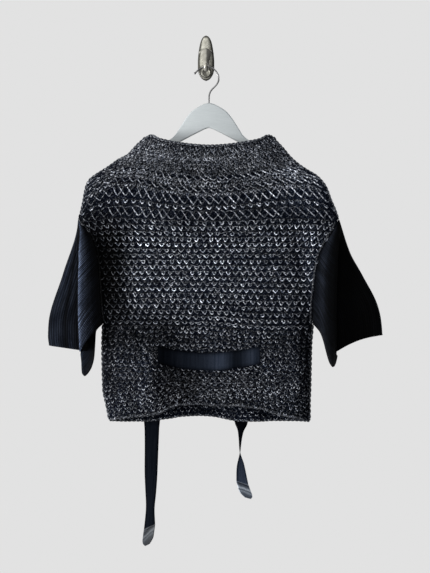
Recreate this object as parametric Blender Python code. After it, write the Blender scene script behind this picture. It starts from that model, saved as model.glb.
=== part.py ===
"""A boxy knit top with rib sleeves and a waist tape, hung on a wooden hanger.

The top is a front and a back of chunky marled knit, each with its half of the
funnel neck knitted in one with it, and two half sleeves of black rib.  A tape
crosses the front, goes in through two slits, out through two slits in the back
and hangs down behind it in two tails with leather ends.  The hanger's wire hook
rests in a metal wall hook.

The origin is the centre of the wall plate's flat back.  The wall is the plane
y = 0 and everything hangs in front of it, on the side of negative y.  +Z is up,
+X is to the right of someone who faces the wall.  Tables are in millimetres,
with "drop" the distance below the origin.
"""

import math

import bmesh
import bpy
import numpy as np
from mathutils import Vector

MM = 0.001

# ---------------------------------------------------------------- cloth sizes
CLOTH_PLANE = -36.0      # y of the side seams and of the hanger's middle
BODY_WALL = 3.0          # chunky knit
SLEEVE_WALL = 2.0        # rib knit
SEAM_GAP = 0.3           # between pieces that are sewn together
SEWN = 0.02              # points of one piece nearer than this are one point
SIDE_ROUND = 4.0         # how square the body's rounded sides are
EDGE_REACH = 10.0        # how close to its edge the armhole's depth stays
ARMHOLE_TURN = 8.0       # armhole depth at which the wall's end faces sideways

BODY_COLUMNS = 29
EDGE_CROWDING = 0.65     # share of the columns' spacing that crowds to the round sides
# Rows of the body above and below the armholes: from drop, to drop, rows.
ROWS_ABOVE = ((159.0, 247.0, 7), (247.0, 327.0, 3))
ROWS_BELOW = ((534.0, 640.0, 4), (640.0, 730.0, 6))
# Rows down a sleeve, and down the body's armholes, as shares of the armhole's depth.
ARMHOLE_TOP = 327.0
ARMHOLE_END = 534.0
SLEEVE_ROWS = (0.0, 0.04, 0.10, 0.19, 0.31, 0.44, 0.57, 0.70, 0.82, 0.91, 0.97, 1.0)

# Outline of the body at the side seams and armholes, from neck to hem.
BODY = {
    "drop":    (159, 167, 177, 187, 197, 207, 217, 227, 237, 247, 261, 287, 311,
                327, 333, 345, 365, 401, 467, 507, 523, 531, 535, 577, 667, 697, 730),
    "left":    (-119, -127, -138, -147, -157, -176, -190, -205, -221, -233, -240, -245, -250,
                -254, -250, -240, -227, -217, -212, -209, -207, -206, -206, -207, -205, -199, -193),
    "right":   (135, 139, 148, 157, 165, 175, 187, 202, 219, 230, 240, 250, 260,
                264, 261, 255, 243, 225, 215, 212, 212, 213, 213, 210, 208, 207, 207),
    "armhole": (0, 0, 0, 0, 0, 0, 0, 0, 0, 0, 0, 0, 0,
                7, 9, 11, 14, 18, 20, 19, 15, 8, 0, 0, 0, 0, 0),
    "front":   (30, 30, 29, 28, 27, 26, 25, 24, 24, 24, 24, 25, 26,
                26, 26, 26, 27, 28, 29, 29, 29, 29, 29, 29, 28, 28, 28),
    "back":    (23, 23, 22, 22, 21, 21, 20, 20, 20, 20, 20, 20, 21,
                21, 21, 21, 22, 22, 23, 23, 23, 23, 23, 23, 23, 23, 23),
}

NECK_TOP = BODY["drop"][0]
HEM = BODY["drop"][-1]
NECK_DIP = 20.0          # how far the neck edge sinks between the shoulders
NECK_DIP_REACH = 75.0    # depth of cloth that sinks with it
NECK_DIP_ROUND = 1.8     # how soon the edge rises again towards the shoulders
HEM_REACH = 105.0        # height of cloth that rises with the hem
# The front hem is drawn up under the tape, the back hem only a little.
HEM_RISE = {
    "x":     (-195, -160, -122, -98, -85, -69, -52, -12, 16, 60, 82, 112, 134, 176, 210),
    "front": (2, 8, 13, 16, 21, 29, 34, 36, 33, 33, 30, 26, 18, 8, 0),
    "back":  (2, 0, 0, 2, 4, 6, 9, 11, 9, 1, 0, 0, 1, 1, 0),
}

# Largest soft folds: middle, half size, and how far out (+) or in (-) they go.
FOLDS = {
    "front": (
        # x, drop, half width, half height, out
        (5, 607, 95, 20, -5.0),
        (0, 545, 120, 45, 3.5),
        (-75, 668, 22, 40, -4.0),
        (15, 690, 60, 34, 4.0),
        (95, 660, 30, 55, 3.0),
        (-165, 430, 26, 90, -4.0),
        (170, 640, 24, 70, -4.0),
        (-60, 300, 40, 70, 2.0),
        (90, 320, 45, 80, -2.0),
    ),
    "back": (
        (0, 600, 110, 30, -3.0),
        (86, 735, 32, 60, -12.0),
        (-110, 735, 30, 60, -3.0),
        (-150, 420, 30, 90, -3.0),
        (150, 450, 30, 90, -3.0),
        (20, 350, 60, 80, 1.5),
    ),
}

# ---------------------------------------------------------------- sleeves
# Each sleeve hangs in a pleat: from the armhole the cloth runs out as a flap to
# a fold edge, back under it to a hidden fold, and out again to the outer edge.
SLEEVES = {
    "sleeve_left": {
        "side": -1,
        "seam": "left",
        "fold":   {"drop": (327, 345, 420, 500, 589), "x": (-255, -255, -254, -255, -255)},
        "hidden": {"drop": (327, 345, 420, 500, 589), "x": (-254, -252, -247, -242, -238)},
        "outer":  {"drop": (327, 345, 435, 535, 560, 577), "x": (-256, -258, -286, -315, -316, -314)},
        # bottom edge of the flap, from the fold edge round the point to the armpit
        "flap_foot": {
            "across": (0.0, 0.12, 0.25, 0.35, 0.45, 0.60, 0.75, 0.88, 0.95, 1.0),
            "x":      (-255, -249, -247, -242, -236, -226, -222, -221, -213, -206),
            "drop":   (589, 608, 632, 639, 634, 614, 589, 556, 540, 534),
        },
    },
    "sleeve_right": {
        "side": 1,
        "seam": "right",
        "fold":   {"drop": (327, 345, 420, 500, 596), "x": (265, 266, 262, 260, 260)},
        "hidden": {"drop": (327, 345, 420, 500, 596), "x": (264, 263, 257, 252, 249)},
        "outer":  {"drop": (327, 392, 436, 497, 526, 556), "x": (267, 288, 312, 343, 350, 353)},
        "flap_foot": {
            "across": (0.0, 0.12, 0.25, 0.35, 0.45, 0.60, 0.75, 0.88, 0.95, 1.0),
            "x":      (260, 258, 255.5, 253, 248, 241, 236, 230, 221, 213),
            "drop":   (596, 606, 616, 621, 615, 595, 575, 556, 543, 534),
        },
    },
}

# Across one half of a sleeve's ring, from the armhole seam to the outer edge.
# "along" is the place across the layer, "depth" the distance from the cloth
# plane, "rib" is 1 on a rib and 0 between two.
PLEAT = (
    # layer, along, depth, rib
    ("flap", 1.00, 0.0, 0),
    ("flap", 0.90, 24.0, 1),
    ("flap", 0.79, 26.0, 0),
    ("flap", 0.68, 28.0, 1),
    ("flap", 0.57, 29.0, 0),
    ("flap", 0.46, 30.0, 1),
    ("flap", 0.35, 30.0, 0),
    ("flap", 0.24, 30.0, 0),
    ("flap", 0.14, 29.5, 0),
    ("flap", 0.05, 28.0, 0),
    ("flap", 0.00, 25.0, 0),
    ("under", 0.12, 22.0, 0),
    ("under", 0.50, 20.5, 0),
    ("under", 0.88, 19.0, 0),
    ("under", 1.00, 16.5, 0),
    ("outer", 0.04, 14.0, 0),
    ("outer", 0.16, 13.0, 1),
    ("outer", 0.28, 12.5, 0),
    ("outer", 0.41, 12.5, 1),
    ("outer", 0.54, 12.5, 0),
    ("outer", 0.67, 12.0, 1),
    ("outer", 0.79, 11.0, 0),
    ("outer", 0.90, 9.0, 1),
    ("outer", 0.97, 5.5, 0),
    ("outer", 1.00, 0.0, 0),
)
PLEAT_OPENS = (0.03, 0.30)   # share of the way down over which the pleat opens
POINT_ACROSS = 0.35          # where the flap's bottom edge comes to its point
POINT_ROUND = 14             # how late the flap closes towards its bottom edge
POINT_STARTS = 0.05          # place across the flap from which it narrows to that point
FOOT_TUCK = (0.7, 0.3)       # from this share of the way down, the inner layers draw this far together
SEAM_FULL = (0.6, 0.8)       # from this place across, the flap keeps this share of its depth to the seam
SWELL = (0.2, 6.0)           # share of the way down by which the shoulder swells, and how far
BACK_SHARE = 0.8             # the back half is this much shallower than the front
RIB_HEIGHT = 1.2
RIBS_START = 3               # rows below the shoulder where the ribs are full

# ---------------------------------------------------------------- waist tape
TAPE_WIDTH = 35.0
TAPE_THICK = 1.0
TAPE_CLEAR = 1.0             # from the knit that it lies on
BAND_DROP = {"x": (-95, -45, 10, 60, 107), "drop": (596, 606, 610, 605, 597)}
FRONT_SLITS = (-95.0, 107.0)
BACK_SLIT_DROP = 597.0
SLIT_WIDTH = 3.2
SLIT_HEIGHT = 37.0
SLIT_REACH = 16.0            # how deep the cutter goes through the knit

UPRIGHT = np.array((0.0, 0.0, TAPE_WIDTH / 2))
BAND_START = 4.5             # from a slit, where the tape lies flat on the front
BAND_COLUMNS = 15
BAND_PROBES = (-0.5, -0.25, 0.0, 0.25, 0.5)   # places across the tape's width
# Bends of the tape: beside the slit, and inwards of the front's outside.
INTO_SLIT = ((0.0, 12.0), (0.0, 5.0), (0.0, 1.0), (0.35, -0.4), (1.3, -1.0), (2.6, -1.1))
# Beside the slit, and outwards of the back's outside.
OUT_OF_SLIT = ((0.0, -12.0), (0.0, -5.0), (0.0, -0.5), (0.35, 1.0), (1.3, 1.8), (3.0, 2.0), (8.0, 2.0))
FOLD_CLEAR = 1.0             # between the last straight line and the diagonal fold
FOLD_RADIUS = 1.3
FOLD_STEPS = 4

# A tail comes out of its back slit at "exit" and turns about its own length as it
# falls; "edge" is how far it has turned.
TAILS = {
    "left": {
        "exit": -84.0,
        "x":    (-110.5, -110, -109, -109, -109.5, -110.5, -111, -112, -113.5),
        "drop": (618, 690, 725, 745, 783, 831, 870, 905, 942),
        "y":    (-8.4, -7.0, -7.6, -10.5, -13.5, -15.0, -16.5, -17.5, -17.5),
        "edge": (0, 10, 19, 32, 38, 42, 51, 60, 50),
    },
    "right": {
        "exit": 95.0,
        "x":    (68.5, 70, 70, 70.5, 69.5, 68.7, 68, 69.5, 73),
        "drop": (618, 680, 715, 735, 750, 765, 792, 820, 854),
        "y":    (-8.4, -7.0, -9.5, -14.5, -18.4, -19.3, -19.5, -18.7, -17.5),
        "edge": (0, 12, 26, 46, 72, 81, 90, 115, 133),
    },
}
TAIL_ROWS = 21
SLANT_REACH = 45.0           # length of a tail over which its cross lines turn to its end's slant
TIP_THICK = 2.4
TIP_ROWS = 5
# The leather ends go on from the tape; "slant" is how far each side of their cross lines rises.
TIPS = {
    "left": {
        "x": (-113.5, -116, -118), "drop": (942.5, 962, 979), "y": (-17.5, -17.0, -16.5),
        "edge": (50, 50, 54), "slant": 6.5,
    },
    "right": {
        "x": (73, 78, 84), "drop": (854.5, 870, 885), "y": (-17.5, -17.0, -16.5),
        "edge": (133, 136, 142), "slant": 5.0,
    },
}

# ---------------------------------------------------------------- hanger
HANGER_X = 6.0
HANGER_THICK = 12.0
HANGER_BEVEL = 2.5
# Half of the wood's outline: out from the middle, top edge and underside.
HANGER = {
    "out":   (0, 8, 16, 24, 33, 45, 58, 70, 100, 150, 180, 195, 202),
    "top":   (93, 94.5, 98, 102.5, 108.5, 122, 142, 160, 179, 207, 224, 233, 240),
    "under": (142.5, 145, 149, 153, 157.5, 164, 171, 178, 197, 225, 241, 247, 245),
}
HANGER_STEPS = 16
WIRE_THICK = 3.0
# The wire hook's route, from its tip over the wall hook and down into the wood.
WIRE_ROUTE = (
    (-22.0, -33.5), (-17.0, -28.5), (-11.0, -23.8), (-5.0, -21.0), (0.0, -20.2),
    (8.0, -21.2), (16.0, -25.5), (21.5, -31.5), (25.0, -39.0), (25.5, -46.0),
    (23.0, -53.5), (18.0, -60.0), (12.0, -66.0), (8.0, -72.5), (6.2, -80.0), (6.0, -92.6),
)
WIRE_POINTS = 30

# ---------------------------------------------------------------- wall hook
PLATE_THICK = 3.5
PLATE_BEVEL = 1.2
PLATE = {
    "drop": (-46, -44, -39, -31, -20, -7, 8, 20, 30, 38, 43, 46),
    "half": (0, 4.5, 8.5, 11.5, 13.8, 15.6, 16.6, 16.6, 15.0, 11.0, 6.5, 0),
}
ARM_SIDES = 12
ARM_RINGS = 19
# Sections of the arm: forward of the wall, drop, half width, half thickness.
ARM = (
    (3.8, -15.0, 11.0, 5.0),
    (9.0, -14.0, 11.0, 5.0),
    (15.5, -6.0, 9.5, 4.6),
    (22.0, 8.0, 7.0, 4.2),
    (28.5, 21.0, 5.0, 3.8),
    (33.5, 25.6, 4.2, 3.6),
    (38.0, 26.1, 4.2, 3.6),
    (42.5, 24.0, 4.4, 3.6),
    (45.0, 18.5, 4.2, 3.4),
    (45.6, 14.5, 2.2, 1.8),
)

FINISHES = {
    # colour, roughness, metallic
    "marled_knit": ((0.045, 0.047, 0.055), 0.95, 0.0),
    "rib_knit": ((0.006, 0.006, 0.008), 0.95, 0.0),
    "grosgrain": ((0.008, 0.008, 0.010), 0.6, 0.0),
    "leather": ((0.02, 0.022, 0.028), 0.35, 0.0),
    "painted_wood": ((0.58, 0.60, 0.60), 0.5, 0.0),
    "steel_wire": ((0.45, 0.45, 0.45), 0.25, 1.0),
    "cast_nickel": ((0.38, 0.36, 0.33), 0.35, 1.0),
}


# ---------------------------------------------------------------- helpers
def smooth(value, stations, readings):
    """Read a smooth curve through the readings that never overshoots them."""
    stations = np.asarray(stations, float)
    readings = np.asarray(readings, float)
    value = np.clip(value, stations[0], stations[-1])
    step = np.diff(stations)
    slope = np.diff(readings) / step
    tangent = np.concatenate(([slope[0]], np.zeros(len(step) - 1), [slope[-1]]))
    rising = slope[:-1] * slope[1:] > 0
    product = 2 * slope[:-1] * slope[1:]
    total = np.where(rising, slope[:-1] + slope[1:], 1.0)
    tangent[1:-1] = np.where(rising, product / total, 0.0)
    i = np.clip(np.searchsorted(stations, value, side="right") - 1, 0, len(step) - 1)
    t = (value - stations[i]) / step[i]
    start = (1 + 2 * t) * (1 - t) ** 2 * readings[i] + t * (1 - t) ** 2 * step[i] * tangent[i]
    end = t * t * (3 - 2 * t) * readings[i + 1] + t * t * (t - 1) * step[i] * tangent[i + 1]
    return start + end


def ease(value, low, high):
    """0 below low, 1 above high, and a soft step between."""
    t = np.clip((value - low) / (high - low), 0.0, 1.0)
    return t * t * (3 - 2 * t)


def bump(value, middle, half):
    """1 at the middle, falling softly to 0 a few halves away."""
    return np.exp(-(((value - middle) / half) ** 2))


def material(name):
    colour, roughness, metallic = FINISHES[name]
    made = bpy.data.materials.new(name)
    made.use_nodes = True
    shader = made.node_tree.nodes["Principled BSDF"]
    shader.inputs["Base Color"].default_value = (*colour, 1.0)
    shader.inputs["Roughness"].default_value = roughness
    shader.inputs["Metallic"].default_value = metallic
    return made


def add_object(name, mesh, finish, collection, smooth_angle=35.0):
    mesh.materials.append(material(finish))
    mesh.shade_smooth()
    mesh.set_sharp_from_angle(angle=math.radians(smooth_angle))
    made = bpy.data.objects.new(name, mesh)
    collection.objects.link(made)
    return made


def mesh_from(name, bm):
    bmesh.ops.recalc_face_normals(bm, faces=bm.faces)
    mesh = bpy.data.meshes.new(name)
    bm.to_mesh(mesh)
    bm.free()
    return mesh


def wall_between(name, outer, inner):
    """Close the wall between an outer and an inner grid of points, in millimetres."""
    rows, columns = outer.shape[:2]
    bm = bmesh.new()
    skins = []
    for grid in (outer, inner):
        skins.append([[bm.verts.new(Vector(p) * MM) for p in row] for row in grid])
    for r in range(rows - 1):
        for c in range(columns - 1):
            for skin in skins:
                bm.faces.new((skin[r][c], skin[r][c + 1], skin[r + 1][c + 1], skin[r + 1][c]))
    out, into = skins
    for c in range(columns - 1):
        for r in (0, rows - 1):
            bm.faces.new((out[r][c], out[r][c + 1], into[r][c + 1], into[r][c]))
    for r in range(rows - 1):
        for c in (0, columns - 1):
            bm.faces.new((out[r][c], out[r + 1][c], into[r + 1][c], into[r][c]))
    return mesh_from(name, bm)


def wall_along(name, grid, ribs, thickness):
    """Thicken an open grid inwards along its normals and raise ribs on its outside.

    Points of the grid that coincide are sewn together.  At its first and last
    column, which lie along a seam, the wall's end faces straight forward or back.
    """
    rows, columns = grid.shape[:2]
    bm = bmesh.new()
    rib = bm.verts.layers.float.new("rib")
    end = bm.verts.layers.float.new("end")
    points = [[bm.verts.new(Vector(p) * MM) for p in row] for row in grid]
    for r, row in enumerate(points):
        for c, vert in enumerate(row):
            vert[rib] = ribs[c] * min(1.0, r / RIBS_START)
        if r >= RIBS_START:
            row[0][end] = -1.0
            row[-1][end] = 1.0
    for r in range(rows - 1):
        for c in range(columns - 1):
            bm.faces.new((points[r][c], points[r][c + 1], points[r + 1][c + 1], points[r + 1][c]))
    bmesh.ops.remove_doubles(bm, verts=bm.verts, dist=SEWN * MM)
    bm.normal_update()
    middle = sum((v.co for v in bm.verts), Vector()) / len(bm.verts)
    if sum((f.calc_center_median() - middle).dot(f.normal) * f.calc_area() for f in bm.faces) < 0:
        bmesh.ops.reverse_faces(bm, faces=bm.faces)
        bm.normal_update()
    outer = list(bm.verts)
    faces = [list(f.verts) for f in bm.faces]
    rim = [(e.link_loops[0].vert, e.link_loops[0].link_loop_next.vert) for e in bm.edges if e.is_boundary]
    normals = {}
    for vert in outer:
        normals[vert] = Vector((0, vert[end], 0)) if vert[end] else vert.normal.copy()
    inner = {v: bm.verts.new(v.co - normals[v] * thickness * MM) for v in outer}
    for verts in faces:
        bm.faces.new([inner[v] for v in reversed(verts)])
    for a, b in rim:
        bm.faces.new((b, a, inner[a], inner[b]))
    for vert in outer:
        vert.co += normals[vert] * vert[rib] * MM
    return mesh_from(name, bm)


# ---------------------------------------------------------------- body
def fold_out(face, x, drop):
    """How far the soft folds move the cloth out at a place."""
    away = 0.0
    for middle, low, wide, tall, out in FOLDS[face]:
        away += out * bump(x, middle, wide) * bump(drop, low, tall)
    return away


def body_point(face, across, drop, inset=0.0):
    """A point of the front or back: across runs from -1 to 1 between its side edges."""
    sign = -1 if face == "front" else 1
    armhole = smooth(drop, BODY["drop"], BODY["armhole"])
    depth = smooth(drop, BODY["drop"], BODY[face])
    shut = 1 - min(1.0, armhole / ARMHOLE_TURN)
    left = smooth(drop, BODY["drop"], BODY["left"]) + inset * shut
    right = smooth(drop, BODY["drop"], BODY["right"]) - inset * shut
    x = (left + right) / 2 + across * (right - left) / 2
    edge = max(armhole * (1 if face == "front" else BACK_SHARE) - inset, SEAM_GAP / 2)
    full = 1 - abs(across) ** SIDE_ROUND
    away = math.sqrt(edge ** 2 * abs(across) ** EDGE_REACH + (depth - inset) ** 2 * full)
    away += fold_out(face, x, drop) * full
    z = -drop
    near_neck = 1 - ease(drop, NECK_TOP, NECK_TOP + NECK_DIP_REACH)
    z -= near_neck * NECK_DIP * (1 - abs(across) ** NECK_DIP_ROUND)
    near_hem = ease(drop, HEM - HEM_REACH, HEM)
    z += near_hem * float(smooth(x, HEM_RISE["x"], HEM_RISE[face]))
    return (x, CLOTH_PLANE + sign * away, z)


def seam_drop(down):
    return ARMHOLE_TOP + down * (ARMHOLE_END - ARMHOLE_TOP)


def body_rows():
    above = [d for low, high, count in ROWS_ABOVE for d in np.linspace(low, high, count, endpoint=False)]
    below = [d for low, high, count in ROWS_BELOW for d in np.linspace(low, high, count + 1)[1:]]
    return [*above, *(seam_drop(down) for down in SLEEVE_ROWS), *below]


def make_panel(face, collection):
    even = np.linspace(-1, 1, BODY_COLUMNS)
    across = (1 - EDGE_CROWDING) * even + EDGE_CROWDING * np.sin(even * math.pi / 2)
    skins = [
        np.array([[body_point(face, a, drop, inset) for a in across] for drop in body_rows()])
        for inset in (0.0, BODY_WALL)
    ]
    return add_object(f"body_{face}", wall_between(f"body_{face}", *skins), "marled_knit", collection)


def body_surface_y(face, x, drop):
    """y of the front's or back's outside at a place that is given across and down."""
    left = smooth(drop, BODY["drop"], BODY["left"])
    right = smooth(drop, BODY["drop"], BODY["right"])
    across = (2 * x - left - right) / (right - left)
    return body_point(face, across, drop)[1]


# ---------------------------------------------------------------- sleeves
def flap_point(cut, along, down):
    """A point of the flap: along is 0 at the fold edge and 1 at the armhole seam."""
    foot = cut["flap_foot"]
    fold_drop = cut["fold"]["drop"]
    drop_fold = fold_drop[0] + down * (fold_drop[-1] - fold_drop[0])
    drop_seam = seam_drop(down)
    fold_x = smooth(drop_fold, fold_drop, cut["fold"]["x"])
    seam_x = smooth(drop_seam, BODY["drop"], BODY[cut["seam"]]) + cut["side"] * SEAM_GAP
    x = (1 - along) * fold_x + along * seam_x
    drop = (1 - along) * drop_fold + along * drop_seam
    x_end = (1 - along) * cut["fold"]["x"][-1] + along * foot["x"][-1]
    drop_end = (1 - along) * fold_drop[-1] + along * ARMHOLE_END
    pull = down ** 2
    x += pull * (smooth(along, foot["across"], foot["x"]) - x_end)
    drop += pull * (smooth(along, foot["across"], foot["drop"]) - drop_end)
    return x, drop


def layer_point(cut, layer, along, down):
    if layer == "flap":
        return flap_point(cut, along, down)
    near, far = ("fold", "hidden") if layer == "under" else ("hidden", "outer")
    places = []
    for name in (near, far):
        line = cut[name]
        drop = line["drop"][0] + down * (line["drop"][-1] - line["drop"][0])
        places.append((smooth(drop, line["drop"], line["x"]), drop))
    return tuple((1 - along) * a + along * b for a, b in zip(*places))


def sleeve_half_ring(cut, down, share):
    """One half of a sleeve's ring at a share of the way down it."""
    seam_x, seam_low = layer_point(cut, "flap", 1.0, down)
    outer_x, outer_drop = layer_point(cut, "outer", 1.0, down)
    armhole = max(smooth(seam_low, BODY["drop"], BODY["armhole"]) * share, SEAM_GAP / 2)
    opened = ease(down, *PLEAT_OPENS)
    ring = []
    for index, (layer, along, depth, _) in enumerate(PLEAT):
        turn = index / (len(PLEAT) - 1) * math.pi / 2
        plain_x = seam_x + (outer_x - seam_x) * math.sin(turn)
        plain_drop = seam_low + (outer_drop - seam_low) * math.sin(turn)
        swell = math.sin(2 * turn) * SWELL[1] * ease(down, 0.0, SWELL[0])
        plain_depth = armhole * math.cos(turn) + swell
        x, drop = layer_point(cut, layer, along, down)
        depth *= share
        if layer != "flap":
            depth *= 1 - FOOT_TUCK[1] * ease(down, FOOT_TUCK[0], 1.0)
        elif index == 0:
            depth = armhole
        else:
            shut = ease(along, POINT_STARTS, POINT_ACROSS) * down ** POINT_ROUND
            near_seam = ease(along, SEAM_FULL[0], 1.0)
            depth = (1 - near_seam) * depth + near_seam * max(armhole, depth * SEAM_FULL[1])
            depth *= math.sqrt(max(0.0, 1 - shut))
        x = plain_x + (x - plain_x) * opened
        drop = plain_drop + (drop - plain_drop) * opened
        depth = plain_depth + (depth - plain_depth) * opened
        if down == 1.0 and layer == "flap" and along >= POINT_ACROSS:
            depth = 0.0
        ring.append((x, depth, -drop))
    return ring


def make_sleeve(name, collection):
    cut = SLEEVES[name]
    rings = []
    for down in SLEEVE_ROWS:
        front = [(x, CLOTH_PLANE - depth, z) for x, depth, z in sleeve_half_ring(cut, down, 1.0)]
        back = [(x, CLOTH_PLANE + depth, z) for x, depth, z in sleeve_half_ring(cut, down, BACK_SHARE)]
        rings.append(front + back[-2::-1])
    ribs = [row[3] * RIB_HEIGHT for row in PLEAT]
    mesh = wall_along(name, np.array(rings), ribs + ribs[-2::-1], SLEEVE_WALL)
    return add_object(name, mesh, "rib_knit", collection, smooth_angle=60.0)


# ---------------------------------------------------------------- waist tape
def ribbon(name, centres, widths, thickness):
    """A flat strip through cross lines, each with a centre and half its width as a vector."""
    centres = np.array(centres, float)
    widths = np.array(widths, float)
    runs = np.gradient(centres, axis=0)
    normals = np.cross(runs, widths)
    normals /= np.linalg.norm(normals, axis=1)[:, None]
    half = normals * thickness / 2
    outer = np.stack([centres - widths + half, centres + widths + half], axis=1)
    inner = np.stack([centres - widths - half, centres + widths - half], axis=1)
    return wall_between(name, outer, inner)


def turned_width(angle):
    """Half the tape's width, turned about the vertical from lying flat to the wall."""
    turn = math.radians(angle)
    return np.array((math.cos(turn), -math.sin(turn), 0.0)) * TAPE_WIDTH / 2


def hanging_lines(path, count, slant, slant_from):
    """Cross lines of a stretch that hangs: its centre, and its width turned and slanted."""
    lines = []
    for drop in np.linspace(path["drop"][0], path["drop"][-1], count):
        x, y, edge = (float(smooth(drop, path["drop"], path[key])) for key in ("x", "y", "edge"))
        rise = slant * ease(drop, slant_from, slant_from + SLANT_REACH)
        lines.append((np.array((x, y, -drop)), turned_width(edge) + (0.0, 0.0, rise)))
    return lines


def back_slit_lines(tail):
    """Cross lines out through a back slit and round the diagonal fold that turns the tape down."""
    z = -BACK_SLIT_DROP
    skin = body_surface_y("back", tail["exit"], BACK_SLIT_DROP)
    lines = []
    for left, out in OUT_OF_SLIT:
        lines.append((np.array((tail["exit"] - left, skin + out, z)), UPRIGHT))
    middle = np.array((tail["exit"] - OUT_OF_SLIT[-1][0] - FOLD_CLEAR - TAPE_WIDTH / 2, skin, z))
    flat = OUT_OF_SLIT[-1][1]
    for step in range(FOLD_STEPS + 1):
        turn = math.pi * (step / FOLD_STEPS - 0.5)
        away = FOLD_RADIUS * math.cos(turn) / math.sqrt(2)
        rise = flat + FOLD_RADIUS * (1 + math.sin(turn))
        lines.append((middle + (-away, rise, away), UPRIGHT + (TAPE_WIDTH / 2, 0.0, 0.0)))
    return lines


def band_place(x):
    """Drop of the band at x, and y of the furthest knit under its width there."""
    drop = float(smooth(x, BAND_DROP["x"], BAND_DROP["drop"]))
    return drop, min(body_surface_y("front", x, drop + off * TAPE_WIDTH) for off in BAND_PROBES)


def front_slit_lines(x, inwards):
    """Cross lines round the bend from a front slit's inside to the band on the front."""
    drop, skin = band_place(x)
    return [(np.array((x + inwards * side, skin + into, -drop)), UPRIGHT) for side, into in INTO_SLIT]


def band_lines():
    """Cross lines of the tape across the front, from the left slit to the right one."""
    left, right = FRONT_SLITS
    lines = []
    for x in np.linspace(left + BAND_START, right - BAND_START, BAND_COLUMNS):
        drop, skin = band_place(x)
        lines.append((np.array((x, skin - TAPE_CLEAR - TAPE_THICK / 2, -drop)), UPRIGHT))
    return lines


def make_tape(collection):
    """The whole tape as one strip, from the left tail's end to the right tail's."""
    half = {}
    for side, inwards in (("left", 1), ("right", -1)):
        tail = TAILS[side]
        front_slit = FRONT_SLITS[0] if side == "left" else FRONT_SLITS[1]
        half[side] = (
            hanging_lines(tail, TAIL_ROWS, TIPS[side]["slant"], tail["drop"][-1] - SLANT_REACH)[::-1]
            + back_slit_lines(tail)[::-1]
            + front_slit_lines(front_slit, inwards)
        )
    lines = half["left"] + band_lines() + half["right"][::-1]
    mesh = ribbon("waist_tape", *zip(*lines), TAPE_THICK)
    add_object("waist_tape", mesh, "grosgrain", collection)
    for side in TAILS:
        lines = hanging_lines(TIPS[side], TIP_ROWS, TIPS[side]["slant"], 0.0)
        mesh = ribbon(f"tape_tip_{side}", *zip(*lines), TIP_THICK)
        add_object(f"tape_tip_{side}", mesh, "leather", collection)


def cut_slits(panel, face, places, cutters):
    """Cut the slits that the tape runs through."""
    for number, x in enumerate(places):
        if face == "front":
            drop = float(smooth(x, BAND_DROP["x"], BAND_DROP["drop"]))
        else:
            drop = BACK_SLIT_DROP
        skin = body_surface_y(face, x, drop)
        bpy.ops.mesh.primitive_cube_add(size=MM, location=Vector((x, skin, -drop)) * MM)
        cutter = bpy.context.object
        cutter.name = f"slit_{face}_{number}"
        cutter.scale = (SLIT_WIDTH, SLIT_REACH, SLIT_HEIGHT)
        cutter.hide_render = True
        cutter.display_type = "WIRE"
        for home in cutter.users_collection:
            home.objects.unlink(cutter)
        cutters.objects.link(cutter)
        cut = panel.modifiers.new(f"slit_{number}", "BOOLEAN")
        cut.operation = "DIFFERENCE"
        cut.solver = "EXACT"
        cut.object = cutter


# ---------------------------------------------------------------- hanger and wall hook
def flat_piece(name, outline, thickness, bevel, middle_y, finish, collection):
    """A flat piece that faces the wall, with rounded edges, from an outline of (x, drop)."""
    curve = bpy.data.curves.new(name, "CURVE")
    curve.dimensions = "2D"
    curve.fill_mode = "BOTH"
    curve.extrude = (thickness / 2 - bevel) * MM
    curve.bevel_depth = bevel * MM
    curve.bevel_resolution = 1
    curve.offset = -bevel * MM
    spline = curve.splines.new("POLY")
    spline.points.add(len(outline) - 1)
    for point, (x, drop) in zip(spline.points, outline):
        point.co = (x * MM, -drop * MM, 0.0, 1.0)
    spline.use_cyclic_u = True
    curve.materials.append(material(finish))
    made = bpy.data.objects.new(name, curve)
    made.rotation_euler = (math.radians(90), 0.0, 0.0)
    made.location = (0.0, middle_y * MM, 0.0)
    collection.objects.link(made)
    weld = made.modifiers.new("weld", "WELD")
    weld.merge_threshold = SEWN * MM
    return made


def make_hanger(collection):
    outs = np.linspace(0, HANGER["out"][-1], HANGER_STEPS)
    top = [(out, float(smooth(out, HANGER["out"], HANGER["top"]))) for out in outs]
    under = [(out, float(smooth(out, HANGER["out"], HANGER["under"]))) for out in outs]
    right = top + under[::-1]
    left = [(-out, drop) for out, drop in under[1:] + top[:0:-1]]
    outline = [(HANGER_X + out, drop) for out, drop in right + left]
    flat_piece("hanger_wood", outline, HANGER_THICK, HANGER_BEVEL, CLOTH_PLANE, "painted_wood", collection)


def make_wire(collection):
    share = np.linspace(0, len(WIRE_ROUTE) - 1, WIRE_POINTS)
    stations = np.arange(len(WIRE_ROUTE))
    xs = smooth(share, stations, [x for x, _ in WIRE_ROUTE])
    zs = smooth(share, stations, [z for _, z in WIRE_ROUTE])
    curve = bpy.data.curves.new("hanger_hook", "CURVE")
    curve.dimensions = "3D"
    curve.bevel_depth = WIRE_THICK / 2 * MM
    curve.bevel_resolution = 2
    curve.use_fill_caps = True
    spline = curve.splines.new("POLY")
    spline.points.add(WIRE_POINTS - 1)
    for point, x, z in zip(spline.points, xs, zs):
        point.co = (x * MM, CLOTH_PLANE * MM, z * MM, 1.0)
    curve.materials.append(material("steel_wire"))
    made = bpy.data.objects.new("hanger_hook", curve)
    collection.objects.link(made)


def make_wall_plate(collection):
    sides = [(float(half), float(drop)) for half, drop in zip(PLATE["half"], PLATE["drop"])]
    outline = sides + [(-half, drop) for half, drop in sides[-2:0:-1]]
    flat_piece("wall_plate", outline, PLATE_THICK, PLATE_BEVEL, -PLATE_THICK / 2, "cast_nickel", collection)


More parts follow.
